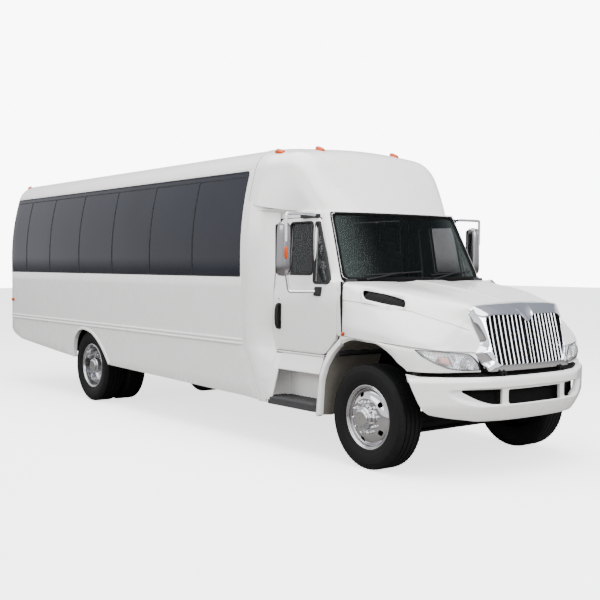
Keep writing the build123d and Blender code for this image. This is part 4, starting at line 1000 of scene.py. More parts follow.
for side, hand in SIDES:
    def leg_skin(x, z, height):
        """Leg's outer face: leaning in with height, fuller towards the front and the foot."""
        lean = np.interp(z, [0.42, 0.8, 1.0, 1.17], [1.188, 1.168, 1.13, 1.104])
        return xyz(x, side * (lean + height + 0.015 * share(x, -0.66, 0.1) * share(1.1, z, 0.2)), z)
    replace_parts(panel(f"{hand}_arch_leg", LEG, [], leg_skin, 0.03, WHITE, wall=0.05, rim=0.009),
        "cab_steps")
    z = np.linspace(0.5, 0.974, 30)[:, None]
    x_end, y_end = wing_end(z)
    lip_x = np.interp(z, [0.5, 0.56, 0.81, 0.98], [-1.366, -1.345, -1.322, -1.322])
    lip_y = np.interp(z, [0.5, 0.56, 0.81, 0.98], [1.205, 1.2, 1.15, 1.1])
    r = np.linspace(0, 1, 7)[None]
    flange = xyz(between(x_end, lip_x, r), side * (between(y_end, lip_y, r) + 0.006 * np.sin(np.pi * r)), z)
    z_rear = z[z[:, 0] < 0.825]
    rear_x, rear_y = (np.interp(z_rear, z[:, 0], lip[:, 0]) for lip in (lip_x, lip_y))
    rear_wall = xyz(rear_x * (1 - r) - 1.385 * r ** 0.6, side * between(rear_y, 0.935, r), z_rear)
    board = smooth_line([(1.098, 0.976), (1.115, 0.92), (1.149, 0.828), (1.147, 0.815), (1.125, 0.812),
        (0.97, 0.822), (0.938, 0.8)], 40)
    back = smooth_line([(0.938, 0.81), (0.934, 0.6), (0.936, 0.5)], 14)
    apron, well = (xyz(np.linspace(rear, -0.655, 20)[:, None], side * line[:, 0], line[:, 1])
        for rear, line in ((-1.33, board), (-1.39, back)))
    build(f"{hand}_step_moulding", [net(flange), net(rear_wall), net(apron), net(well)], WHITE, wall=0.012,
        inner=(-1.0, 0, 0.7))
    u, v = np.linspace(0, 1, 121)[:, None], np.linspace(0, 1, 25)[None]
    plan_x = -1.446 + 0.788 * u
    outer = 1.212 - 0.02 * share(0.06, u, 0.06) ** 2 - 0.03 * share(-0.02 + u, 0.93, 0.09)
    plan_y = 0.925 + (outer - 0.925) * v
    ridge = 0.004 * np.clip(np.sin(plan_y * 2 * np.pi / 0.036) * 2, -1, 1)
    ridge = ridge * np.clip(np.sin(plan_x * 2 * np.pi / 0.06) * 3 + 1.6, 0, 1)
    edge = 0.01 * np.clip(1 - np.minimum(np.minimum(u, 1 - u) * 60, np.minimum(v, 1 - v) * 14), 0, 1) ** 2
    top = xyz(plan_x, side * plan_y, TREAD_Z[1] + ridge - edge)
    low = xyz(plan_x, side * plan_y, TREAD_Z[0] + edge * 0.6)
    ring = lambda grid: np.concatenate([grid[:-1, 0], grid[-1, :-1], grid[:0:-1, -1], grid[0, :0:-1]])
    rim = np.stack([ring(top), ring(low)])
    solid(f"{hand}_step_tread", [net(top), net(low), net(rim, False, True)], ("black_plastic", step_black))

# ---- Wheel-well liners.  A brown-grey moulded sheet over each front tyre, fixed to the cab and
# frame, from the arch's edge to the frame rails.
liner_grey = coat("moulded_well_liner", (9.0, 4.0), (0.1, 0.091, 0.076), (0.19, 0.176, 0.15), (0.75, 0.15),
    ((60.0, 4.0), 0.2, 0.002))
for side, hand in SIDES:
    rim = np.vstack([ARCH_RIM, [(0.54, 0.9)]])
    middle = np.array([-0.04, 0.7])
    across = np.linspace(0, 1, 12)[None]
    rim_out = middle + (rim - middle) * 1.012
    rim_y = np.interp(rim[:, 0], [-0.6, -0.38, 0.1, 0.4, 0.54], [1.15, 1.085, 1.12, 1.105, 1.06])
    x = rim_out[:, :1] + 0.02 * across
    y = between(rim_y[:, None], 0.56, across)
    z = rim_out[:, 1:] + 0.006 * np.cos(across * 6 * np.pi) + 0.01 * across
    x, y, z = (np.column_stack([part, part[:, -1], part[:, -1]]) for part in (x, y, z))
    y[:, 12:] = (0.525, 0.485)
    z[:, 13] = np.minimum(z[:, 13], 1.06)
    build(f"{hand}_well_liner", [net(xyz(x, side * y, z))], ("black_plastic", liner_grey), wall=0.005,
        inner=(-0.04, side * 0.9, 0.5))

# ---- Hood.  One moulded fibreglass shell, white, tilting forward on two brackets: raised centre,
# shoulders, fenders bulging over the wheels and a flange below each lip that holds a headlight.
NET_U, NET_V = 0.25, 0.13     # about one knot's spacing along and across, for even fills


def woven(knots):
    """Surface through a net of knots at (u, v), NET_U or NET_V a knot.  Across, a cubic whose slope
    at a knot is the harmonic mean of the steps either side, or nought where they turn back, so
    that close knots make a crease; along, a cubic with half the step between the neighbours."""
    k = np.concatenate([2 * knots[:1] - knots[1:2], knots, 2 * knots[-1:] - knots[-2:-1]])
    step = np.diff(k, axis=1)
    a, b = step[:, :-1], step[:, 1:]
    both = np.where(a * b > 0, 2 * a * b / np.where(a * b > 0, a + b, 1.0), 0.0)
    slope = np.concatenate([step[:, :1], both, step[:, -1:]], axis=1)
    rows, columns = knots.shape[:2]

    def surface(u, v, height=0.0):
        u, v = np.broadcast_arrays(np.asarray(u, float) / NET_U, np.asarray(v, float) / NET_V)
        u, v = np.clip(u, 0, rows - 1), np.clip(v, 0, columns - 1)
        i, j = np.minimum(u.astype(int), rows - 2), np.minimum(v.astype(int), columns - 2)
        t, s = u - i, (v - j)[..., None]
        along = [-0.5 * t + t ** 2 - 0.5 * t ** 3, 1 - 2.5 * t ** 2 + 1.5 * t ** 3,
            0.5 * t + 2 * t ** 2 - 1.5 * t ** 3, -0.5 * t ** 2 + 0.5 * t ** 3]
        p = sum(w[..., None] * ((2 * s ** 3 - 3 * s ** 2 + 1) * k[i + m, j]
            + (s ** 3 - 2 * s ** 2 + s) * slope[i + m, j] + (3 * s ** 2 - 2 * s ** 3) * k[i + m, j + 1]
            + (s ** 3 - s ** 2) * slope[i + m, j + 1]) for m, w in enumerate(along))
        if np.ndim(height) == 0 and height == 0.0:
            return p
        e = 1e-3
        normal = np.cross(surface(u * NET_U + e, v * NET_V) - surface(u * NET_U - e, v * NET_V),
            surface(u * NET_U, v * NET_V + e) - surface(u * NET_U, v * NET_V - e))
        normal /= np.linalg.norm(normal, axis=-1)[..., None] + 1e-12
        return p + normal * np.asarray(height)[..., None]
    return surface


def found(surface, outline, pick, u_range, v_range):
    """Parameters of outline points given in two of the three coordinates: the nearest of a fine
    grid, then four Newton steps."""
    u, v = np.meshgrid(np.linspace(*u_range, 160), np.linspace(*v_range, 160), indexing="ij")
    seen = surface(u, v)[..., pick].reshape(-1, 2)
    outline = np.asarray(outline, float)
    best = np.linalg.norm(seen[None] - outline[:, None], axis=2).argmin(1)
    at = np.column_stack([u.ravel()[best], v.ravel()[best]])
    for _ in range(4):
        here = surface(at[:, 0], at[:, 1])[:, pick]
        du = (surface(at[:, 0] + 1e-4, at[:, 1])[:, pick] - here) / 1e-4
        dv = (surface(at[:, 0], at[:, 1] + 1e-4)[:, pick] - here) / 1e-4
        miss = outline - here
        size = du[:, 0] * dv[:, 1] - du[:, 1] * dv[:, 0]
        size = np.where(np.abs(size) < 1e-6, 1e-6, size)
        move = np.column_stack([miss[:, 0] * dv[:, 1] - miss[:, 1] * dv[:, 0],
            miss[:, 1] * du[:, 0] - miss[:, 0] * du[:, 1]]) / size[:, None]
        at = np.clip(at + np.clip(move, -0.02, 0.02), [u_range[0], v_range[0]], [u_range[1], v_range[1]])
    return at


# Rows from the screen to the nose; columns from the middle over the ridge, valley, shoulder, seam
# and fender to the lip.
HOOD = np.array([[(-.325, 0, 1.722), (-.328, .175, 1.722), (-.33, .197, 1.717), (-.343, .335, 1.706),
    (-.35, .365, 1.706), (-.39, .64, 1.714), (-.45, .96, 1.712), (-.412, 1.05, 1.692),
    (-.406, 1.076, 1.64), (-.385, 1.092, 1.45), (-.373, 1.105, 1.3), (-.366, 1.108, 1.213)],
    [(-.13, 0, 1.704), (-.13, .175, 1.701), (-.13, .197, 1.695), (-.13, .36, 1.68), (-.13, .39, 1.68),
    (-.16, .64, 1.686), (-.19, .9, 1.67), (-.19, .985, 1.614), (-.19, 1.016, 1.57), (-.19, 1.092, 1.418),
    (-.19, 1.14, 1.285), (-.19, 1.145, 1.199)], [(.06, 0, 1.684), (.06, .175, 1.681), (.06, .197, 1.675),
    (.06, .385, 1.656), (.06, .415, 1.655), (.06, .64, 1.66), (.06, .865, 1.637), (.06, .955, 1.578),
    (.06, .985, 1.535), (.06, 1.088, 1.395), (.06, 1.158, 1.262), (.06, 1.164, 1.191)], [(.26, 0, 1.658),
    (.26, .175, 1.655), (.26, .197, 1.649), (.26, .42, 1.628), (.26, .45, 1.627), (.26, .62, 1.628),
    (.26, .812, 1.602), (.26, .918, 1.538), (.26, .955, 1.496), (.26, 1.08, 1.372), (.26, 1.158, 1.245),
    (.26, 1.163, 1.184)], [(.44, 0, 1.63), (.44, .175, 1.627), (.44, .197, 1.622), (.44, .455, 1.597),
    (.44, .485, 1.596), (.44, .61, 1.59), (.44, .745, 1.561), (.44, .862, 1.49), (.44, .905, 1.45),
    (.44, 1.045, 1.338), (.44, 1.138, 1.222), (.44, 1.148, 1.176)], [(.62, 0, 1.595), (.62, .175, 1.593),
    (.62, .197, 1.589), (.62, .5, 1.558), (.62, .53, 1.556), (.62, .6, 1.546), (.62, .668, 1.518),
    (.62, .758, 1.436), (.62, .8, 1.398), (.62, .955, 1.29), (.62, 1.06, 1.196), (.62, 1.075, 1.159)],
    [(.73, 0, 1.568), (.73, .175, 1.567), (.73, .197, 1.564), (.725, .52, 1.532), (.722, .548, 1.528),
    (.715, .59, 1.516), (.712, .622, 1.494), (.72, .668, 1.402), (.726, .698, 1.362), (.742, .8, 1.262),
    (.75, .905, 1.172), (.752, .932, 1.137)], [(.802, 0, 1.548), (.801, .175, 1.547), (.8, .197, 1.546),
    (.778, .54, 1.524), (.775, .57, 1.516), (.77, .598, 1.502), (.768, .614, 1.484), (.784, .612, 1.412),
    (.798, .598, 1.35), (.842, .546, 1.22), (.856, .572, 1.155), (.862, .628, 1.116)]])
hood_skin = woven(HOOD)
U_END, V_END = (HOOD.shape[0] - 1) * NET_U, (HOOD.shape[1] - 1) * NET_V
LOUVRE = [(-0.228, 1.64), (0.04, 1.611), (0.262, 1.56), (0.308, 1.492), (0.08, 1.521), (-0.16, 1.556)]
louvre_3d = rounded(LOUVRE, (0.035, 0.06, 0.035, 0.03, 0.06, 0.04), 7)
louvre = found(hood_skin, louvre_3d, [0, 2], (0, 5 * NET_U), (5.5 * NET_V, 8.6 * NET_V))


def louvre_lip(u, v):
    """Height of the embossed lip round the louvre: a ridge 12 mm outside its edge."""
    gap = np.full(np.shape(u), 9.0)
    loop = spaced(louvre, 0.008)
    for part in np.array_split(loop, 12):
        gap = np.minimum(gap, np.hypot(u[..., None] - part[:, 0], v[..., None] - part[:, 1]).min(-1))
    return 0.012 * np.exp(-((gap - 0.02) / 0.009) ** 2) - 0.004 * np.exp(-((gap - 0.042) / 0.008) ** 2)


HOOD_CORE = (0.1, 0.0, 1.2)
BACKED = ("white_paint", [white_paint, black_trim])
embossed = lambda u, v, height: hood_skin(u, v, louvre_lip(u, v))
shape, faces = patch(embossed, rounded_box((0, U_END), (0, V_END), 0.0, 1), [louvre], 0.0225)
shape[np.abs(shape[:, 1]) < 1e-4, 1] = 0.0
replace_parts(build("hood_shell", both_sides([(shape, faces)]), BACKED, "hood", wall=0.012, crease=50.0,
    inner=HOOD_CORE, join=1e-4), "hood")

u = np.linspace(0, U_END, 160)
lip = hood_skin(u, V_END)
over = ARCH_RIM[ARCH_RIM[:, 0] > -0.4]
foot_z = np.where(lip[:, 0] < 0.525, np.interp(lip[:, 0], over[:, 0], over[:, 1]),
    np.interp(lip[:, 0], [0.525, 0.88], [0.962, 0.952]))
foot_z = np.minimum(foot_z, lip[:, 2] - 0.006)
along = np.interp(u, NET_U * np.array([0, 2, 3, 4, 5, 6, 7]), np.arange(7))
k = np.array([(-.366, 1.11), (.06, 1.172), (.26, 1.172), (.44, 1.158), (.62, 1.082), (.752, .94),
    (.893, .588)])
base = woven(np.stack([k, k + 1e-3], axis=1)[..., [0, 1]])
foot = np.column_stack([base(along * NET_U, 0.0 * u), foot_z])
foot[:, :2] = np.where(lip[:, :1] < 0.62, np.column_stack([lip[:, 0], np.interp(lip[:, 0], *k.T)]),
    foot[:, :2])


def looked_up(at, places, points):
    """Points at places along a line, straight between its own."""
    return np.stack([np.interp(at, places, column) for column in points.T], -1)


def flange_skin(u_at, t, height=0.0):
    """Flange at (place along the lip, part of the way down 0-1): straight from lip to foot, with a
    hollow just under the lip that a bulge follows."""
    u_at, t = np.broadcast_arrays(np.asarray(u_at, float), np.asarray(t, float))
    top, low, out = (looked_up(u_at, u, points) for points in (lip, foot, flange_out))
    bulge = -0.01 * np.exp(-((t - 0.07) / 0.06) ** 2) + 0.008 * np.sin(np.pi * np.clip(t, 0, 1)) + height
    return between(top, low, t[..., None]) + out * bulge[..., None]


step = np.gradient(foot, axis=0)
flange_out = np.abs(unit(xyz(step[:, 1], -step[:, 0], 0 * u)))
LAMP = [(0.592, 0.962), (0.612, 1.02), (0.646, 1.068), (0.69, 1.104), (0.86, 1.122), (0.968, 1.132),
    (1.092, 1.142), (1.07, 1.092), (1.0, 1.034), (0.88, 0.98), (0.74, 0.96)]
LAMP_RADII = (0.01, 0.02, 0.03, 0.02, 0.04, 0.04, 0.008, 0.02, 0.04, 0.04, 0.03)


def on_flange(outline):
    """Flange parameters of outline points given as (y, z)."""
    return found(flange_skin, outline, [1, 2], (4.2 * NET_U, U_END), (0.0, 1.0))


lamp_line = on_flange(rounded(LAMP, LAMP_RADII))
roll = np.linspace(0, 1, 6)[None, :, None]
edge_roll = foot[:, None] - 0.028 * flange_out[:, None] * roll ** 2 - np.array([0, 0, 0.01]) * np.sin(
    np.pi * roll)
parts = [patch(flange_skin, rounded_box((0, U_END), (0, 1), 0.0, 1), [lamp_line], 0.02), net(edge_roll)]
build("hood_flanges", both_sides(parts), BACKED, "hood", wall=0.008, inner=HOOD_CORE, join=1e-4)
run = np.linspace(0.004, U_END - 0.004, 120)
seam = smooth_line([(-0.398, 1.542), (-0.302, 1.536), (0.008, 1.505), (0.337, 1.47), (0.529, 1.417),
    (0.693, 1.36), (0.792, 1.308)], 120)
seam = found(hood_skin, seam, [0, 2], (0, U_END), (6.5 * NET_V, 9.5 * NET_V))
lines = []
for run, v_at, width in ((seam[:, 0], seam[:, 1], 0.0028), (run, V_END - 0.004, 0.0026)):
    path, path_out = (hood_skin(run, v_at + across, 0.0012) for across in (0.0, 0.004))
    lines += both_sides([net(np.stack([path, path + unit(path_out - path) * width * 1.4], 1))])
build("hood_seam_lines", lines, BLACK, "hood", inner=HOOD_CORE)
slats = []
t = np.linspace(0, 1, 9)
# Under the slats a near-black pan stands for the shade inside the vent: painted shade.
pan = [patch(hood_skin, grown(louvre, 0.012), [], 0.03, -0.034)]
for at in np.linspace(-0.165, 0.25, 9):
    mid_z = 1.596 - 0.155 * (at + 0.16)
    line = np.column_stack([at + 0.06 * (t - 0.5), mid_z + 0.1 * (t - 0.5)])
    uv = found(hood_skin, line, [0, 2], (0, 5 * NET_U), (5.5 * NET_V, 8.6 * NET_V))
    top = hood_skin(uv[:, 0] - 0.008, uv[:, 1], -0.006)
    low = hood_skin(uv[:, 0] + 0.022, uv[:, 1], -0.034)
    slats.append(net(np.stack([top, low], 1)))
for label, parts, look in (("hood_louvres", slats, BLACK), ("hood_louvre_pans", pan, DARK)):
    build(label, both_sides(parts), look, "hood", wall=0.004, inner=HOOD_CORE)
marker_line = np.linspace((-0.372, 1.112, 1.214), (-0.318, 1.124, 1.24), 12)
girth = 0.013 * (1 - np.abs(np.linspace(-1, 1, 12)) ** 3) ** 0.5 + 0.002
solid("fender_markers", both_sides([pipe(marker_line, girth, 12)]), AMBER, "hood")

# ---- Headlights.  A clear moulded lens over a silvered housing with two round reflectors, each
# with its bulb shield, an amber section between them and a black rubber edge.
clear_lens = coat("clear_lamp_lens", ("ribs", 30.0, "Z"), (0.7, 0.73, 0.75), (0.8, 0.82, 0.84),
    (0.04, 0.05), (None, 0.1, 0.001), Alpha=0.22, Coat_Weight=1.0)
silvered = coat("silvered_reflector", ("cells", 55.0), (0.62, 0.63, 0.65), (0.85, 0.86, 0.88), (0.12, 0.15),
    (None, 0.5, 0.004), Metallic=0.9)
SILVERED = ("bright_metal", silvered)
NOSE_CORE = (0.3, 0.0, 1.2)


def lamp_rings(layers, outline=lamp_line, depth=0.0):
    """Rings on the flange: the outline drawn in to a part of itself, at a height, for each layer."""
    middle = outline.mean(0)
    return np.stack([flange_skin(*(middle + (outline - middle) * part).T, depth + h) for part, h in layers])


shell = net(lamp_rings(((0.985, -0.003), (0.97, -0.025), (0.9, -0.055), (0.6, -0.07), (0.05, -0.072))),
    False, True)
build("headlight_housings", both_sides([shell]), SILVERED, "hood", inner=NOSE_CORE)


def cover(u, v, height):
    """Lens: it rises by the square root of the distance from its edge, 8 mm within 30 mm."""
    gap = np.full(len(u), 9.0)
    for part in np.array_split(spaced(lamp_line, 0.01), 8):
        gap = np.minimum(gap, np.hypot(u[:, None] - part[:, 0], (v[:, None] - part[:, 1]) * 0.2).min(-1))
    return flange_skin(u, v, -0.002 + 0.008 * np.clip(gap / 0.03, 0, 1) ** 0.5)


inside = lamp_line.mean(0) + (lamp_line - lamp_line.mean(0)) * 0.985
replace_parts(build("headlight_lenses", both_sides([patch(cover, inside, [], 0.02)]),
    ("clear_glass", clear_lens), "hood", inner=NOSE_CORE), "headlights")
ring = net(lamp_rings(((1.026, -0.001), (1.02, 0.005), (0.995, 0.006), (0.968, 0.002), (0.964, -0.006))),
    False, True)
build("headlight_rubbers", both_sides([ring]), BLACK, "hood", inner=NOSE_CORE)
bowls, shields = [], []
turn = turns(40)[None]
for y, z, size in ((0.69, 1.03, 0.05), (0.852, 1.052, 0.044)):
    at = on_flange([(y, z)])
    here = flange_skin(at[:, 0], at[:, 1])[0]
    out = unit(unit(flange_skin(at[:, 0], at[:, 1], 1.0)[0] - here) + (0.5, 0.0, 0.0))
    side = unit(np.cross(out, (0, 0, 1.0)))
    over = np.cross(side, out)

    def dish(radius, depth):
        """Rings about the lamp's axis, with a radius and a distance outwards for each."""
        radius, depth = (np.array(part)[:, None, None] for part in (radius, depth))
        return here + radius * (np.cos(turn)[..., None] * side + np.sin(turn)[..., None]
            * over) + depth * out
    r = np.linspace(1.0, 0.12, 10)
    bowls.append(net(dish(size * r, -0.012 - 0.045 * (1 - r ** 2)), False, True))
    bowls.append(net(dish(size * np.array([1.12, 1.08, 1.0]), [-0.016, -0.009, -0.012]), False, True))
    r = np.linspace(0.34, 0.02, 6)
    depths = np.append([-0.05, -0.022], -0.022 + 0.01 * (1 - (r / 0.34) ** 2))
    shields.append(stacked(dish(size * np.append([0.3, 0.34], r), depths)))
build("headlight_bowls", both_sides(bowls), SILVERED, "hood", inner=NOSE_CORE)
solid("headlight_shields", both_sides(shields), BRIGHT, "hood")
pale_amber = coat("pale_amber_lamp", ("cells", 90.0), (0.55, 0.22, 0.17), (0.85, 0.52, 0.45), (0.2, 0.2),
    (None, 0.5, 0.002), Metallic=0.3)
for name, look, corners, depth in (("ambers", ("amber_lens", pale_amber),
        [(0.945, 1.086), (0.879, 1.075), (0.852, 1.006), (0.945, 1.029)], -0.012),
        ("dividers", SILVERED, [(0.868, 1.104), (0.884, 1.104), (0.84, 0.992), (0.824, 0.992)], -0.006)):
    layers = ((1.0, -0.03), (1.0, 0.0), (0.9, 0.006), (0.3, 0.008))
    block = stacked(lamp_rings(layers, on_flange(rounded(corners, 0.006)), depth))
    solid(f"headlight_{name}", both_sides([block]), look, "hood")

# ---- Grille. A plated surround, broad and rounded at the top, with slim plated bars over a near-black
# screen that paints the shade behind them; the places for a badge and for lettering are left plain.
SURROUND = [(0.38, 1.541), (0.585, 1.512), (0.622, 1.47), (0.612, 1.4), (0.592, 1.33), (0.556, 1.215),
    (0.556, 1.185), (0.575, 1.155), (0.64, 1.108), (0.612, 1.068), (0.578, 1.02), (0.545, 0.944)]
SURROUND_R = [0.1, 0.03, 0.03, 0.04, 0.06, 0.02, 0.02, 0.03, 0.012, 0.04, 0.04, 0.01]
GRILLE = [(0.09, 1.434), (0.45, 1.434), (0.512, 1.405), (0.512, 1.33), (0.505, 1.22), (0.494, 1.12),
    (0.464, 1.035), (0.425, 1.004)]
GRILLE_R = [0.02, 0.05, 0.03, 0.04, 0.06, 0.05, 0.04, 0.03]
OPENING_X = 0.05


def nose_x(y, z):
    """Nose plane: leaning back with height, bowed in plan by the square of the distance out."""
    middle = 0.975 - (z - 0.93) * 0.2328
    return middle - (middle - 0.92 + (z - 0.93) * 0.2578) * (y / 0.64) ** 2


def even(outline, count):
    """Closed outline as so many points at even angles round (0, 1.22)."""
    fine = spaced(outline, 0.002) - (0.0, 1.22)
    angle = np.arctan2(fine[:, 1], fine[:, 0])
    order = np.argsort(angle)
    at = np.linspace(-np.pi, np.pi, count, endpoint=False)
    reach = np.interp(at, angle[order], np.linalg.norm(fine, axis=1)[order], period=2 * np.pi)
    return np.column_stack([reach * np.cos(at), reach * np.sin(at) + 1.22])


def mirrored_outline(corners, radii, top=()):
    """Closed rounded outline from its left half, reflected, with any points on the centre line."""
    other = [(-y, z) for y, z in corners[::-1]]
    return rounded(list(top) + corners + other, [0.02] * len(top) + radii + radii[::-1], 7)


RING = 640
GRILLE_CORE = (0.3, 0.0, 1.22)
outer = even(mirrored_outline(SURROUND, SURROUND_R), RING)
inner = even(mirrored_outline(GRILLE, GRILLE_R, [(0, 1.357)]), RING)
t = np.array([0, 0.03, 0.07, 0.13, 0.2, 0.3, 0.42, 0.55, 0.68, 0.8, 0.9, 0.95, 0.985, 1.0])[:, None]
ring = between(outer, inner, t[..., None])
topness = share(outer[:, 1], 1.44, 0.08)
side_depth = np.interp(t, [0, 0.07, 0.2, 0.55, 0.8, 0.95, 0.985, 1.0],
    [-0.024, -0.008, 0.004, 0.034, 0.048, 0.052, 0.049, 0.04])
top_depth = np.interp(t, [0, 0.07, 0.2, 0.55, 0.8, 0.95, 0.985, 1.0],
    [-0.04, -0.03, -0.016, 0.022, 0.046, 0.054, 0.05, 0.04])
top_depth = top_depth + 0.028 * share(np.abs(outer[:, 0]), 0.36, 0.2) * (1 - t) ** 2
depth = between(side_depth, top_depth, topness)
foot_flat = share(1.02, outer[:, 1], 0.03)
foot_depth = np.interp(t, [0, 0.07, 0.55, 0.95, 1.0], [0.01, 0.028, 0.044, 0.05, 0.036])
depth = between(depth, foot_depth, foot_flat)
front = xyz(nose_x(ring[..., 0], ring[..., 1]) + depth, ring[..., 0], ring[..., 1])
steps = np.linspace(0.15, 1, 5)[:, None]
lip_in = grown(inner, -0.004)
back = xyz(nose_x(*lip_in.T) + OPENING_X - 0.016 - 0.04 * steps, lip_in[:, 0], lip_in[:, 1])
out_ring = grown(outer, -0.002)
behind = xyz(nose_x(*out_ring.T) - 0.03 * (1 + steps[::-1]) - 0.006, out_ring[:, 0], out_ring[:, 1])
frame_net = np.concatenate([behind, front, back])
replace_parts(build("grille_frame", [net(frame_net, False, True)], BRIGHT, "hood", crease=40.0,
    inner=GRILLE_CORE), "grille_surround")
bars = []
t = np.linspace(0, 1, 30)[:, None]
for index in range(9):
    first, late = index == 0, max(index - 7, 0)
    z = between(0.998 + 0.012 * late, 1.376 if first else 1.44 - 0.01 * late, t)
    y = (0.022 if first else 0.08 + 0.0525 * (index - 1)) + 0.004 * np.sin(np.pi * t) * index / 8
    x = nose_x(y, z) + OPENING_X - 0.02 + 0.008 * np.cos(turns(16))
    bars += both_sides([stacked(xyz(x, y + (0.0045 if first else 0.0085) * np.sin(turns(16)), z))])
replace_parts(solid("grille_rods", bars, BRIGHT, "hood"), "grille_bars")
# The screen is a dark backing, made near black so that it also paints the shade behind the bars.
screen = patch(lambda y, z, h: xyz(nose_x(y, z) + OPENING_X - 0.09, y, z), grown(inner, 0.006)[::3], [],
    0.05)
build("grille_shade_screen", [screen], DARK, "hood", wall=0.006, inner=GRILLE_CORE)

# ---- Front bumper.  A white moulded cover over a steel beam, with a bevelled channel round three
# openings, a ledge along its top and a turned-under foot.
half = smooth_line([(1.05, 0), (1.044, 0.22), (1.02, 0.458), (0.966, 0.655), (0.868, 0.83), (0.752, 1.02),
    (0.62, 1.2185)], 200)
plan = np.vstack([half[::-1] * (1, -1), half[1:]])
run = np.append(0, np.cumsum(np.linalg.norm(np.diff(plan, axis=0), axis=1)))
run -= run[-1] / 2
plan_step = np.gradient(plan, axis=0)
plan_out = unit(np.column_stack([plan_step[:, 1], -plan_step[:, 0]]))
INSET = [(0.5, 0.075), (0.52, 0.06), (0.545, 0.045), (0.6, 0.02), (0.645, 0.004), (0.67, 0.0), (0.855, 0.0),
    (0.868, 0.001), (0.88, 0.005), (0.893, 0.014), (0.9, 0.035)]


def bumper_skin(s, z, height=0.0):
    """Bumper at (metres round the plan line, height up, height out): the line moved in by a table
    of heights and by the channel, a flat-bottomed trough that closes at its ends."""
    s, z = np.broadcast_arrays(np.asarray(s, float), np.asarray(z, float))
    far = np.abs(s)
    low = 0.652 + 0.1 * share(far, 0.6, 0.36) ** 2
    high = 0.812 - 0.02 * share(far, 0.6, 0.36) ** 2
    deep = share(z, low, 0.02) * share(high, z, 0.014) * share(0.96, far, 0.05)
    inset = np.interp(z, *np.array(INSET).T) + 0.022 * deep - height
    at, out = looked_up(s, run, plan), looked_up(s, run, plan_out)
    at = at - out * inset[..., None]
    return xyz(at[..., 0], at[..., 1], z)


EDGE = [(0.338, 0.512), (0.697, 0.517), (0.948, 0.55), (1.099, 0.577), (1.149, 0.592), (1.207, 0.652),
    (1.265, 0.779), (1.3, 0.863), (1.323, 0.937), (1.2, 0.912), (0.9, 0.905)]
EDGE_RADII = [0.0, 0.0, 0.0, 0.04, 0.04, 0.06, 0.05, 0.05, 0.004, 0.02, 0.0]
bumper_edge = rounded([(-s, z) for s, z in EDGE] + EDGE[::-1], EDGE_RADII + EDGE_RADII[::-1])
middle_hole = rounded_box((-0.362, 0.362), (0.66, 0.788), 0.022)
side_hole = rounded([(0.43, 0.664), (0.554, 0.667), (0.697, 0.706), (0.842, 0.78), (0.836, 0.798),
    (0.43, 0.796)], (0.02, 0.04, 0.06, 0.01, 0.01, 0.018))
BUMPER_CORE = (0.3, 0.0, 0.7)
cover = patch(bumper_skin, bumper_edge, [middle_hole, side_hole, side_hole * (-1, 1)], 0.011)
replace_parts(build("bumper_cover", [cover], BACKED, wall=0.03, rim=0.004, crease=40.0, inner=BUMPER_CORE),
    "front_bumper")
# Near-black sheets behind the openings and in the gap along the top stand where there is only shade: painted
# shade.
shade_backing = bumper_skin(np.linspace(-1.0, 1.0, 80), np.linspace(0.6, 0.86, 8)[:, None], -0.085)
r = np.linspace(0, 1, 6)[:, None]
shade_shelf = bumper_skin(np.linspace(-1.18, 1.18, 120), 0.893 + 0 * r, -0.012 - 0.1 * r)
shade_shelf[..., 2] = 0.893 + 0.04 * r ** 0.7
build("bumper_shade_fillers", [net(shade_backing), net(shade_shelf)], DARK, wall=0.004, inner=BUMPER_CORE)

# ---- Wheels.  Ribbed highway tyres on ten-stud steel wheels with bright covers: bulging outwards
# in front with five hand holes, deep-dished behind, where the wheels are in pairs.
TYRE_RADIUS = 0.482
AXLES = {"front": 0.0, "rear": -5.625}
tyre_rubber = coat("tyre_rubber_compound", (25.0, 4.0), 0.004, 0.009, (0.55, 0.2), ((700.0,), 0.25, 0.0006),
    Specular_IOR_Level=0.13)


def turned(profile, sides, at, wavy=0.0):
    """Surface of a line of (radius, distance along the axle) turned about the axle, with an amount
    that may vary added to the radius."""
    turn = turns(sides)[:, None]
    radius, along = np.array(profile, float).T
    return xyz(at[0] + (radius + wavy) * np.cos(turn), at[1] + along,
        at[2] + (radius + wavy) * np.sin(turn))


side_wall = smooth_line([(0.2865, 0.094), (0.296, 0.112), (0.32, 0.122), (0.352, 0.133), (0.395, 0.138),
    (0.428, 0.1355), (0.452, 0.126), (0.466, 0.119)], 46)
r = side_wall[:, 0]
ribbing = 0.0016 * np.sin(r * 2 * np.pi / 0.006) * (np.abs(r - 0.445) < 0.014)
rings = 0.0022 * np.exp(-((r - 0.318) / 0.003) ** 2) + 0.002 * np.exp(-((r - 0.42) / 0.003) ** 2)
side_wall[:, 1] += ribbing + rings
shoulder = [(0.4745, 0.1135), (0.4795, 0.107), (0.4808, 0.1)]
tread = []
for middle in (0.078, 0.027, -0.027, -0.078):
    tread += [(r, middle + y) for r, y in ((0.4815, 0.0065), (0.468, 0.0045), (0.468, -0.0045),
        (0.4815, -0.0065))]
flank = np.vstack([side_wall, shoulder])
inside = [(0.2865, -0.094), (0.3, -0.085), (0.3, 0.085)]
whole = np.vstack([flank, tread, flank[::-1] * (1, -1), inside])
nick = -0.0045 * (np.sin(turns(216)[:, None] * 72) > 0.55) * (
    (np.abs(np.abs(whole[:, 1]) - 0.1065) < 0.009) & (whole[:, 0] > 0.45))
for end, x in AXLES.items():
    for side, hand in SIDES:
        plural, centres = ("", (1.0,)) if end == "front" else ("s", (0.7, 1.03))
        tyres = [net(turned(whole, 216, (x, side * y, TYRE_RADIUS), nick), True, True) for y in centres]
        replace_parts(solid(f"{end}_{hand}_tread_tyre{plural}", tyres, ("tyre_rubber", tyre_rubber),
            f"{end}_{hand}_wheel{plural}", crease=28.0), f"{end}_{hand}_tyre{plural}")

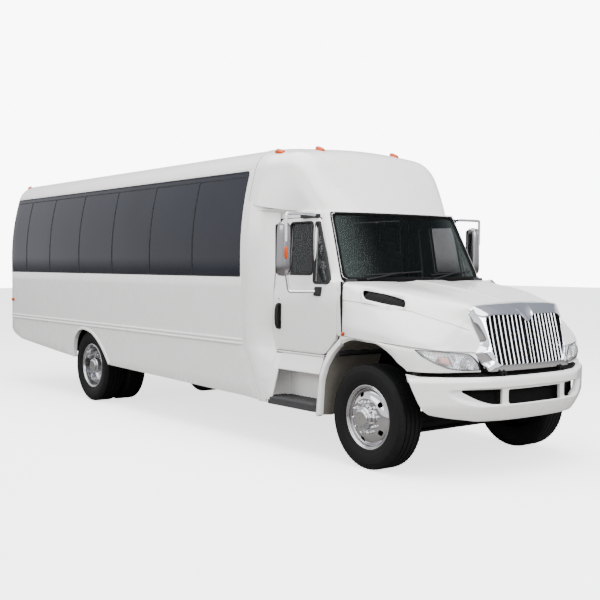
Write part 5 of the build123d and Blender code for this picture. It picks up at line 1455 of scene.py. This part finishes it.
cover_chrome = coat("polished_wheel_cover", (9.0, 3.0), (0.47, 0.47, 0.48), (0.58, 0.58, 0.59),
    (0.05, 0.1, (60.0, 4.0)), Metallic=1.0)
FRONT_DISC = smooth_line([(0.258, -0.033), (0.25, -0.027), (0.236, -0.012), (0.215, 0.002), (0.19, 0.012),
    (0.172, 0.0155), (0.15, 0.016), (0.125, 0.016), (0.112, 0.018)], 44)
FLANGE = smooth_line([(0.262, -0.18), (0.275, -0.15), (0.284, -0.1), (0.286, -0.03), (0.2955, -0.012),
    (0.2985, -0.004), (0.2975, 0.003), (0.291, 0.005), (0.285, 0.001), (0.2825, -0.005), (0.279, -0.005),
    (0.275, -0.001), (0.271, -0.004), (0.267, -0.016), (0.264, -0.034), (0.258, -0.036)], 80)
FRONT_HUB = smooth_line([(0.114, 0.0155), (0.107, 0.02), (0.104, 0.034), (0.101, 0.052), (0.096, 0.06),
    (0.088, 0.063), (0.084, 0.068), (0.082, 0.08), (0.074, 0.089), (0.055, 0.0925), (0.03, 0.0935),
    (0.004, 0.094)], 50)
REAR_DISC = smooth_line([(0.264, -0.02), (0.26, -0.05), (0.252, -0.1), (0.24, -0.145), (0.22, -0.16),
    (0.195, -0.158), (0.175, -0.15), (0.15, -0.148), (0.118, -0.147)], 60)
REAR_HUB = smooth_line([(0.12, -0.147), (0.112, -0.14), (0.108, -0.1), (0.104, -0.04), (0.098, -0.022),
    (0.088, -0.018), (0.086, -0.004), (0.078, 0.004), (0.05, 0.008), (0.004, 0.009)], 50)
INNER_DISC = [(0.286, 0.03), (0.286, -0.06), (0.262, -0.08), (0.2, -0.095), (0.11, -0.095), (0.11, -0.11),
    (0.262, -0.1), (0.276, -0.07)]


def holed_disc(profile, outward, at, count, radius, wide, tall, start):
    """Turned disc with rounded holes: cut flat in (distance round, distance out), then turned."""
    r_of, y_of = profile[np.argsort(profile[:, 0])].T
    t = turns(26)
    c, s = signed(np.cos(t), 0.6), signed(np.sin(t), 0.6)
    holes = []
    for index in range(count):
        angle = start + index * 2 * np.pi / count
        hole_r, hole_a = radius + tall * s, angle + (wide / radius) * c
        holes.append(np.column_stack([hole_r * np.cos(hole_a), hole_r * np.sin(hole_a)]))
    circle = np.column_stack([np.cos(turns(160)), np.sin(turns(160))])
    round_face = lambda u, v, h: xyz(at[0] + u, at[1] + outward * np.interp(np.hypot(u, v), r_of, y_of),
        at[2] + v)
    return patch(round_face, r_of[-1] * circle, holes + [r_of[0] * circle[::2]], 0.009)


def lug(at, outward, base, length):
    """Long nut cap standing out from the disc: a flared foot, a straight body and a domed end."""
    profile = np.array([(0.0185, 0.0), (0.0185, 0.005), (0.015, 0.009), (0.0148, length * 0.75),
        (0.0125, length * 0.93), (0.006, length), (0.0004, length)])
    ring = turned(profile * (1, outward) + (0, outward * base), 14, at)
    return stacked(ring.transpose(1, 0, 2))


STUD_CIRCLE = 0.1425
for end, x in AXLES.items():
    for side, hand in SIDES:
        front = end == "front"
        plural, centre, disc, hub = ("", 1.0, FRONT_DISC, FRONT_HUB) if front else ("s", 1.03, REAR_DISC,
            REAR_HUB)
        body = f"{end}_{hand}_wheel{plural}"
        plane = side * (centre + 0.109)
        at = (x, plane, TYRE_RADIUS)
        shapes = [net(turned(FLANGE * (1, side), 120, at), True),
            net(turned(hub * (1, side), 72, at), True)]
        if front:
            shapes.append(holed_disc(disc, side, at, 5, 0.214, 0.026, 0.021, math.radians(-34)))
            base, length = 0.0155, 0.046
        else:
            shapes.append(net(turned(disc * (1, side), 120, at), True))
            base, length = -0.148, 0.05
            inner_wheel = (x, side * 0.7, TYRE_RADIUS)
            shapes.append(net(turned(np.array(INNER_DISC) * (1, side), 72, inner_wheel), True, True))
        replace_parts(build(f"{end}_{hand}_wheel_cover{plural}", shapes, ("bright_metal", cover_chrome), body,
            wall=0.0025, inner=(x, plane * 0.7, TYRE_RADIUS), crease=40.0), f"{end}_{hand}_rim{plural}")
        nuts = [lug((x + STUD_CIRCLE * math.cos(a), plane, TYRE_RADIUS + STUD_CIRCLE * math.sin(a)), side,
            base, length) for a in turns(10) + 0.1]
        solid(f"{end}_{hand}_lug_caps", nuts, BRIGHT, body)
        if front:
            backing = turned([(0.262, -0.05 * side), (0.1, -0.06 * side), (0.02, -0.06 * side)], 60, at)
            build(f"{end}_{hand}_brake_drum", [net(backing, True)], ("black_chassis", black_trim), body,
                wall=0.02, inner=(x, 0.0, TYRE_RADIUS))

# ---- Cab interior.  Moulded dashboard with an instrument hood, a four-spoke wheel on its column
# and two high-backed seats; passenger benches stand in rows behind.
dash_grain = coat("moulded_dash_grain", (12.0,), (0.012, 0.013, 0.014), (0.022, 0.023, 0.025),
    (0.6, 0.2, ("cells", 420.0)), (None, 0.35, 0.001))
s = np.linspace(-1, 1, 121)[:, None]
hump = 0.085 * np.exp(-((s * 0.93 + 0.47) / 0.24) ** 2) + 0.015 * np.exp(-((s * 0.93 - 0.4) / 0.35) ** 2)
dash_line = smooth_line([(-0.47, 1.12), (-0.474, 1.69), (-0.52, 1.712), (-0.64, 1.718), (-0.76, 1.7),
    (-0.85, 1.65), (-0.872, 1.56), (-0.83, 1.42), (-0.76, 1.32), (-0.62, 1.16)], 60)
lift = share(dash_line[:, 1], 1.45, 0.25) * share(-0.6, dash_line[:, 0], 0.12)
dash_x = dash_line[:, 0] - 0.03 * hump / 0.085 * lift - 0.02 * (1 - s ** 2)
dash = xyz(dash_x, s * 0.955, dash_line[:, 1] + hump * lift)
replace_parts(solid("dash_moulding", [stacked(dash)], ("black_plastic", dash_grain)), "dashboard")


def about_y(angle):
    """Matrix that turns points about Y."""
    c, s = math.cos(angle), math.sin(angle)
    return np.array([[c, 0, s], [0, 1, 0], [-s, 0, c]])


turn = turns(72)
pose = about_y(math.radians(-35))
hub = np.array([-1.04, -0.42, 1.775])
small = turns(14)
ring_r = 0.225 + 0.0155 * np.cos(small)
torus = xyz(ring_r * np.cos(turn[:, None]), ring_r * np.sin(turn[:, None]),
    0.0155 * np.sin(small)) @ pose.T + hub
wheel_parts = [net(torus, True, True)]
for angle in np.radians([25, 155, 215, 325]):
    t = np.linspace(0.04, 0.215, 12)
    spoke = xyz(t * np.cos(angle), t * np.sin(angle), -0.035 * (1 - t / 0.225)) @ pose.T + hub
    wheel_parts.append(pipe(spoke, 0.013 - 0.004 * (t - 0.04) / 0.175, 10, up=(0.0, 0.0, 1.0), across=1.5))
dome = [(0.062, -0.05), (0.07, -0.035), (0.066, -0.015), (0.045, -0.004), (0.002, 0.0)]
ring = np.stack([xyz(r * np.cos(turn), r * np.sin(turn), h) for r, h in dome]) @ pose.T + hub
column = np.linspace((0, 0, -0.02), (0, 0, -0.33), 8) @ pose.T + hub
wheel_parts += [stacked(ring), pipe(column, 0.03, 16, up=(0.0, 1.0, 0.0))]
wheel_grey = coat("grey_wheel_grain", (30.0, 3.0), (0.15, 0.16, 0.16), (0.2, 0.21, 0.21), (0.45, 0.2),
    ((500.0,), 0.2, 0.0005))
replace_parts(solid("steering_wheel_rim", wheel_parts, ("black_plastic", wheel_grey)), "steering_wheel")

# Seats: foam under woven dark cloth with piped edges, on black steel legs.
cloth = Paint("woven_seat_cloth")
warp, weft = cloth.ribs(90.0, "Y", Distortion=1.5), cloth.ribs(90.0, "Z", Distortion=1.5)
seat_cloth = cloth.finish(Base_Color=cloth.blend(warp * 0.5 + weft * 0.5, (0.018, 0.02, 0.028),
    (0.05, 0.055, 0.07)), Roughness=0.92, Sheen_Weight=0.3, Normal=cloth.relief(warp * weft, 0.5, 0.001))
CLOTH = ("seat_cloth", seat_cloth)


def cushion(width, deep, thick, crown):
    """Closed pad centred on the origin at (round it, over it): a superellipse in plan whose height
    falls to nothing at the edge, fuller on top, with its sides drawn in between the corners."""
    u = turns(64)[None]
    v = np.linspace(-np.pi / 2, np.pi / 2, 26)[:, None]
    c, s = np.cos(u), np.sin(u)
    plan_x, plan_y = signed(c, 0.32), signed(s, 0.32)
    grow = np.cos(v) ** 0.34
    pull = 1 - 0.025 * (1 - np.abs(np.sin(2 * u)))
    x, y = deep / 2 * plan_x * grow * pull, width / 2 * plan_y * grow * pull
    z = thick / 2 * np.sign(np.sin(v)) * np.abs(np.sin(v)) ** 0.75
    z = z + crown * np.clip(v, 0, None) * (1 - (2 * x / deep) ** 2) * (1 - (2 * y / width) ** 2) * 0.7
    return net(xyz(x, y, z), False, True)


def puffed(name, shapes, cell, cap):
    pad = faced_out(build(name, shapes, CLOTH, inner=(0, 0, 0)))
    voxel = pad.modifiers.new("voxel", "REMESH")
    voxel.mode = "VOXEL"
    voxel.voxel_size = cell
    applied(pad)
    start = np.empty(len(pad.data.vertices) * 3)
    pad.data.vertices.foreach_get("co", start)
    swell = pad.modifiers.new("swell", "CLOTH")
    swell.settings.use_pressure = True
    swell.settings.uniform_pressure_force = 4.0
    swell.settings.effector_weights.gravity = 0.0
    swell.settings.quality = 4
    for frame_number in range(1, 21):
        bpy.context.scene.frame_set(frame_number)
    applied(pad)
    end = np.empty(len(start))
    pad.data.vertices.foreach_get("co", end)
    move = (end - start).reshape(-1, 3)
    far = np.linalg.norm(move, axis=1)[:, None]
    move *= np.minimum(1.0, cap / np.maximum(far, 1e-9))
    pad.data.vertices.foreach_set("co", (start.reshape(-1, 3) + move).ravel())
    bpy.context.scene.frame_set(1)
    pad.data.shade_smooth()
    return pad


def leaned(pad, lean, at, upright=True):
    """A pad, stood up or left flat, turned back by an angle about Y and moved."""
    points, faces = pad
    return (points[..., [2, 1, 0]] if upright else points) @ about_y(lean).T + at, faces


def copied(piece, name, moves):
    """One mesh of copies of a pad, each moved."""
    count = len(piece.data.vertices)
    base = np.empty(count * 3)
    piece.data.vertices.foreach_get("co", base)
    faces = [list(p.vertices) for p in piece.data.polygons]
    everywhere = (base.reshape(1, -1, 3) + np.array(moves)[:, None]).reshape(-1, 3)
    mesh = bpy.data.meshes.new(name)
    mesh.from_pydata(everywhere.tolist(), [],
        [[v + count * n for v in face] for n in range(len(moves)) for face in faces])
    mesh.materials.append(seat_cloth)
    mesh.shade_smooth()
    made = added(name, mesh)
    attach(made, "root")
    return made


pads = []
for y in (-0.215, 0.215):
    pads += [leaned(cushion(0.405, 0.41, 0.08, 0.012), math.radians(-3), (0.225, y, 1.452), False),
        leaned(cushion(0.405, 0.56, 0.07, 0.01), math.radians(-11.7), (-0.078, y, 1.77))]
bench_pad = puffed("bench_pad_master", pads, 0.022, 0.016)
rows = [(-3.3 - row * 0.74, side * 0.68) for row in range(7) for side in (-1, 1)] + [(-2.5, -0.7)]
for side, hand in SIDES:
    pads_here = copied(bench_pad, f"{hand}_bench_pads", [(x, y, 0.0) for x, y in rows if y * side > 0])
    if side < 0:
        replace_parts(pads_here, "seats")
pads = []
PILOT_Y = (-0.45, 0.45)
for y in PILOT_Y:
    pads += [leaned(cushion(0.47, 0.44, 0.1, 0.02), math.radians(-3), (-1.215, y, 1.395), False),
        leaned(cushion(0.46, 0.6, 0.085, 0.015), math.radians(-6), (-1.402, y, 1.745)),
        leaned(cushion(0.27, 0.16, 0.085, 0.01), math.radians(-6), (-1.432, y, 2.075))]
pilot_pad = puffed("pilot_pad_master", pads, 0.02, 0.018)
copied(pilot_pad, "pilot_seat_pads", [(0.0, 0.0, 0.0)])
for master in (bench_pad, pilot_pad):
    bpy.data.objects.remove(master)
frames = []
for x, y in rows:
    boxed = -6.19 < x + 0.15 < -5.06        # over a rear wheel box
    foot_z = 1.111 if boxed else 1.011
    for dy in (-0.29, 0.29):
        leg = bent([(x + 0.15, y + dy, foot_z), (x + 0.15, y + dy, 1.4), (x + 0.3, y + dy, 1.408)], 0.03)
        plate = np.array([(x + 0.15, y + dy, foot_z), (x + 0.15, y + dy, foot_z + 0.008)])
        frames += [pipe(leg, 0.016, 10, up=(0.0, 1.0, 0.0)), pipe(plate, 0.042, 16, up=(0.0, 1.0, 0.0))]
    for dx, z in ((0.05, 1.405), (0.36, 1.408)):
        frames.append(pipe(xyz(x + dx, np.linspace(y - 0.43, y + 0.43, 8), z), 0.014, 10))
    hoop = bent([(x - 0.01, y - 0.425, 1.4), (x - 0.145, y - 0.425, 2.035), (x - 0.145, y + 0.425, 2.035),
        (x - 0.01, y + 0.425, 1.4)], 0.06)
    frames.append(pipe(hoop, 0.013, 10, up=(1.0, 0.0, 0.2)))
for y in PILOT_Y:
    pedestal = [xyz(np.array([rear, front, front, rear]), y + np.array([-half, -half, half, half]), z)
        for z, rear, front, half in ((1.012, -1.4, -1.06, 0.19), (1.1, -1.37, -1.09, 0.15),
        (1.28, -1.37, -1.09, 0.15), (1.345, -1.42, -1.02, 0.21))]
    frames.append(stacked(np.array(pedestal)))
seat_steel = coat("black_seat_steel", (40.0,), (0.015, 0.015, 0.016), (0.03, 0.03, 0.032),
    (0.45, 0.15, (90.0,)), ((800.0,), 0.15, 0.0004))
solid("seat_frames", frames, ("black_chassis", seat_steel))

# ---- Entrance.  Two glazed aluminium-framed leaves on the left, each in a rubber edge and hung
# at its outer end, inside a moulded surround that blends them into the curved side.
LEAF_Y = 1.211
flat_side = lambda x, z, h: xyz(x, LEAF_Y + h, z)
for label, x0, x1, sign in (("front", -2.419, -2.006, -1), ("rear", -2.844, -2.431, 1)):
    body = f"entrance_{label}_door"
    leaf = rounded_box((x0, x1), (0.512, 2.402), 0.03)
    pane = rounded_box((x0 + 0.055, x1 - 0.055), (0.602, 2.312), 0.05)
    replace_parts(panel(f"entrance_{label}_frame", leaf, [pane], flat_side, 0.1, LINED, body, wall=0.036,
        rim=0.004), f"entrance_{label}_leaf")
    glass = patch(flat_side, grown(pane, -0.002), [], 0.15, -0.014)
    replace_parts(build(f"entrance_{label}_pane", [glass], TINTED, body, wall=0.006),
        f"entrance_{label}_glass")
    rubber = [(-0.004, -0.012), (-0.003, 0.001), (0.004, 0.0035), (0.014, 0.0035), (0.02, 0.0)]
    edge_x = x1 if label == "rear" else x0
    nose = pipe(xyz(edge_x + 0.003 * sign, 1.193, np.linspace(0.52, 2.394, 40)), 0.008, 10, up=AHEAD)
    build(f"entrance_{label}_rubber", [bead(spaced(pane, 0.06), rubber, flat_side)], BLACK, body)
    solid(f"entrance_{label}_meeting_seal", [nose], BLACK, body)
    rail_x = x0 + 0.085 if label == "front" else x1 - 0.085
    rail = bent([(rail_x, 1.165, 1.05), (rail_x, 1.12, 1.05), (rail_x, 1.12, 1.75), (rail_x, 1.165, 1.75)],
        0.04)
    solid(f"entrance_{label}_hand_rail", [pipe(rail, 0.015, 12, up=AHEAD)], BRIGHT, body)


def three_sides(x, top, feet):
    """Line up, across and down the opening, 40 points a side."""
    corners = np.array([(x[0], feet[0]), (x[0], top), (x[1], top), (x[1], feet[1])])
    return np.vstack([np.linspace(a, b, 40) for a, b in zip(corners, corners[1:])])


(x0, x1), top = ENTRANCE
line_out, line_in = (three_sides((x0 + gap, x1 - gap), top - gap, (0.51, 0.49)) for gap in (0.0, 0.014))
skin_at = side_skin(1)(line_out[:, 0], line_out[:, 1], 0.0)
leaf_at = flat_side(line_in[:, 0], line_in[:, 1], 0.002)
r = np.array([0.0, 0.45, 1.0, 1.0, 1.0])[:, None, None]
depth = np.array([0.0, 0.002, 0.0, -0.02, -0.05])[:, None, None]
surround = between(skin_at, leaf_at, r) + depth * (0.0, 1.0, 0.0)
build("entrance_surround", [net(surround)], WHITE, wall=0.004)
pins = []
for x in (-2.003, -2.847):
    for z in (0.75, 1.45, 2.15):
        pins.append(pipe(xyz(x, 1.2125, np.linspace(z - 0.045, z + 0.045, 5)), 0.006, 12, up=AHEAD))
solid("entrance_hinge_pins", pins, BRIGHT)

# ---- Rear door.  A white emergency door with a tinted window, black seals, three outside hinges
# at its left edge and a handle on the right.
rear_face = lambda y, z, h: xyz(REAR_X - h, y, z)
door_line = rounded_box((-0.46, 0.46), (1.02, 2.55), 0.028)
window_line = rounded_box((-0.35, 0.35), (1.8, 2.43), 0.06)


def door_face(y, z, h):
    """Rear door's face with a shallow pressed panel below the window."""
    inside = np.minimum(0.36 - np.abs(y), np.minimum(z - 1.12, 1.68 - z))
    inset = np.clip(inside / 0.02, 0, 1)
    return rear_face(y, z, h - 0.008 * inset)


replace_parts(panel("rear_door_skin", door_line, [window_line], door_face, 0.02, LINED, "rear_door",
    wall=0.042, rim=0.004), "rear_door")
pane = patch(rear_face, grown(window_line, -0.002), [], 0.1, -0.008)
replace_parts(build("rear_window_pane", [pane], TINTED, "rear_door", wall=0.006), "rear_door_glass")
rubber = [(-0.014, -0.01), (-0.012, 0.001), (-0.002, 0.004), (0.01, 0.004), (0.016, 0.0)]
build("rear_window_rubber", [bead(spaced(window_line, 0.05), rubber, rear_face)], BLACK, "rear_door")
seal = [(-0.012, -0.001), (-0.006, 0.003), (0.002, 0.003), (0.005, -0.006)]
build("rear_door_seal", [bead(spaced(DOOR_GAP, 0.05), seal, rear_face)], BLACK)
handle = bent([(-8.404, 0.335, 1.34), (-8.44, 0.335, 1.34), (-8.44, 0.335, 1.52), (-8.404, 0.335, 1.52)],
    0.015)
pad = rounded_box((0.3, 0.37), (1.3, 1.56), 0.02)
pad = raised(rear_face, pad, ((0, -0.01), (0, 0.003), (-0.004, 0.006)))
solid("rear_door_handle", [pipe(handle, 0.009, 12, up=(0.0, 1.0, 0.0)), pad], BLACK, "rear_door")
leaves, barrels = [], []
for z in (1.22, 1.78, 2.36):
    barrels.append(pipe(xyz(-8.409, -0.464, np.linspace(z - 0.05, z + 0.05, 7)), 0.0075, 14, up=AHEAD))
    for y0, y1, group in ((-0.52, -0.466, barrels), (-0.462, -0.402, leaves)):
        plate = rounded_box((y0, y1), (z - 0.038, z + 0.038), 0.008)
        group.append(raised(rear_face, plate, ((0, -0.001), (0, 0.004), (-0.002, 0.005))))
solid("rear_hinge_barrels", barrels, BRIGHT, "rear_door")
solid("rear_hinge_leaves", leaves, BRIGHT, "rear_door")

# ---- Lamps and rear bumper.  Round tail lamps in rubber rings, wedge marker lamps on the cap and
# two at the rear, and a folded steel bumper on brackets.
red_lens = coat("red_lamp_lens", ("cells", 120.0), (0.35, 0.008, 0.006), (0.6, 0.02, 0.014), (0.12, 0.1),
    (None, 0.4, 0.001), Coat_Weight=0.6, Emission_Color=(0.6, 0.01, 0.01), Emission_Strength=0.05)
opal_lens = coat("white_lamp_lens", ("cells", 120.0), (0.6, 0.62, 0.63), (0.82, 0.83, 0.84), (0.1, 0.1),
    (None, 0.4, 0.001), Coat_Weight=0.6)
LENS = ((0.043, 0.004), (0.043, 0.012), (0.038, 0.018), (0.022, 0.0215), (0.001, 0.0225))
LAMP_RING = ((0.054, 0.0), (0.054, 0.006), (0.05, 0.012), (0.045, 0.013), (0.042, 0.008), (0.042, 0.001))
for label, look, profile, heights in (("red", ("red_lens", red_lens), LENS, [1.42]),
        ("amber", AMBER, LENS, [1.3]), ("white", ("lamp_lens", opal_lens), LENS, [1.18]),
        ("rubber", BLACK, LAMP_RING, [1.18, 1.3, 1.42])):
    shapes = [stacked(np.stack([xyz(REAR_X - out, y + r * np.cos(turns(48)), z + r * np.sin(turns(48)))
        for r, out in profile])) for y in (-1.01, 1.01) for z in heights]
    piece = solid(f"tail_lamp_{label}", shapes, look)
    if label == "red":
        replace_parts(piece, "tail_lamps")


def wedge_lamp(at, along, up, length, width, height):
    """Small wedge lamp: a superellipse dome, its back higher than its front, on a normal."""
    up = unit(np.array(up, float))
    along = unit(along - up * (up @ along))
    side = np.cross(up, along)
    u = turns(40)[None]
    v = np.linspace(0, np.pi / 2, 12)[:, None]
    c, s = np.cos(u), np.sin(u)
    x = length / 2 * signed(c, 0.5) * np.cos(v) ** 0.4
    y = width / 2 * signed(s, 0.6) * np.cos(v) ** 0.4
    h = height * np.sin(v) ** 0.8 * (0.72 - 0.28 * x / (length / 2))
    base = np.array(at) - up * 0.006
    grid = base + x[..., None] * along + y[..., None] * side
    return stacked(grid + (h[..., None] + 0.006 * (v[..., None] > 0)) * up)


markers, tails, flanks = [], [], []
for side in (-1, 1):
    for x, y in ((-1.625, side * 0.907), (-1.424, side * 0.531)):
        heights = np.linspace(2.9, 3.16, 400)
        at = np.array([x, y, np.interp(0.0, cap_gap(x, y + 0 * heights, heights), heights)])
        slope = [cap_gap(*(at + step)) - cap_gap(*(at - step)) for step in np.eye(3) * 1e-3]
        markers.append(wedge_lamp(at, AHEAD, slope, 0.125, 0.062, 0.042))
    at, above = (round_skin(-8.315, side * 0.92, height) for height in (0.0, 0.1))
    tails.append(wedge_lamp(at, (-1.0, 0.0, 0.0), above - at, 0.1, 0.05, 0.034))
    flanks.append(wedge_lamp(side_skin(side)(-8.27, 1.31, 0.0), AHEAD, (0.0, side, 0.0), 0.1, 0.05, 0.022))
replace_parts(solid("cap_marker_lamps", markers, AMBER), "marker_lamps")
solid("rear_marker_lamps", tails, ("red_lens", red_lens))
solid("side_marker_lamps", flanks, AMBER)
beam = smooth_line([(0.0, 0.735), (0.012, 0.731), (0.04, 0.73), (0.06, 0.74), (0.06, 0.87), (0.04, 0.88),
    (0.012, 0.879), (0.0, 0.875), (-0.002, 0.8)], 40, closed=True)
y = np.concatenate([[-0.95], np.linspace(-0.948, 0.948, 40), [0.95]])[:, None]
shrink = np.where(np.abs(y) > 0.949, 0.9, 1.0)[..., None]
section = np.array([0.029, 0.805]) + (beam - (0.029, 0.805)) * shrink
bar = xyz(-8.476 + section[..., 0] + 0.012 * (np.abs(y) / 0.95) ** 6, y, section[..., 1])
brackets = [pipe(np.array([(-8.43, side * 0.4, 0.79), (-8.34, side * 0.4, 0.79)]), 0.035, 12)
    for side in (-1, 1)]
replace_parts(solid("rear_bumper_beam", [stacked(bar)], WHITE), "rear_bumper")
solid("rear_bumper_brackets", brackets, ("black_chassis", seat_steel))

# ---- Chassis.  Frame, engine, axles, springs, tank and pipe keep their own shapes, in satin
# black, cast and plain metals.
chassis_black = coat("chassis_black", (6.0, 5.0), 0.004, (0.01, 0.0095, 0.009), (0.55, 0.25),
    ((180.0, 4.0), 0.2, 0.001), Specular_IOR_Level=0.2)
cast_iron = coat("cast_iron_grey", (90.0, 5.0), (0.02, 0.02, 0.021), (0.06, 0.058, 0.056), (0.6, 0.2),
    (None, 0.4, 0.002), Metallic=0.4)
exhaust_steel = coat("exhaust_pipe_steel", (14.0, 5.0), (0.06, 0.045, 0.035), (0.16, 0.14, 0.12),
    (0.5, 0.3), Metallic=0.7)
floor_vinyl = coat("ribbed_floor_vinyl", (200.0, 3.0), (0.05, 0.05, 0.053), (0.09, 0.09, 0.095),
    (0.8, 0.1, ("ribs", 25.0, "Y")), (None, 0.3, 0.002))
tank = Paint("brushed_tank_metal")
brush = tank.grain(30.0, 2.0, tank.place((1.0, 30.0, 30.0)))
tank_metal = tank.finish(Base_Color=tank.blend(brush, (0.1, 0.1, 0.105), (0.2, 0.2, 0.205)), Metallic=0.8,
    Roughness=0.35 + brush * 0.2)
for material, nodes in ((chassis_black,
        ("frame_rails", "cross_members", "front_axle_beam", "leaf_springs", "rear_axle", "driveshaft")),
        (cast_iron, ("engine_block", "radiator", "left_knuckle", "right_knuckle")),
        (tank_metal, ("fuel_tank",)), (exhaust_steel, ("exhaust",)), (floor_vinyl, ("passenger_floor",))):
    for node in nodes:
        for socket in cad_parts[node].material_slots:
            socket.material = material
y = np.linspace(-0.8, 0.8, 61)
drop = np.interp(np.abs(y), [0, 0.5, 0.7, 0.8], [0.285, 0.285, 0.42, 0.45])
flank = np.array([(0.05, 0.0), (0.05, 0.02), (0.02, 0.035), (0.02, 0.085), (0.045, 0.1), (0.045, 0.115)])
section = np.vstack([flank, flank[::-1] * (-1, 1)])
beam = xyz(section[:, 0] - 0.005, y[:, None], drop[:, None] + section[:, 1])
solid("front_axle_drop", [stacked(beam)], ("black_chassis", chassis_black))
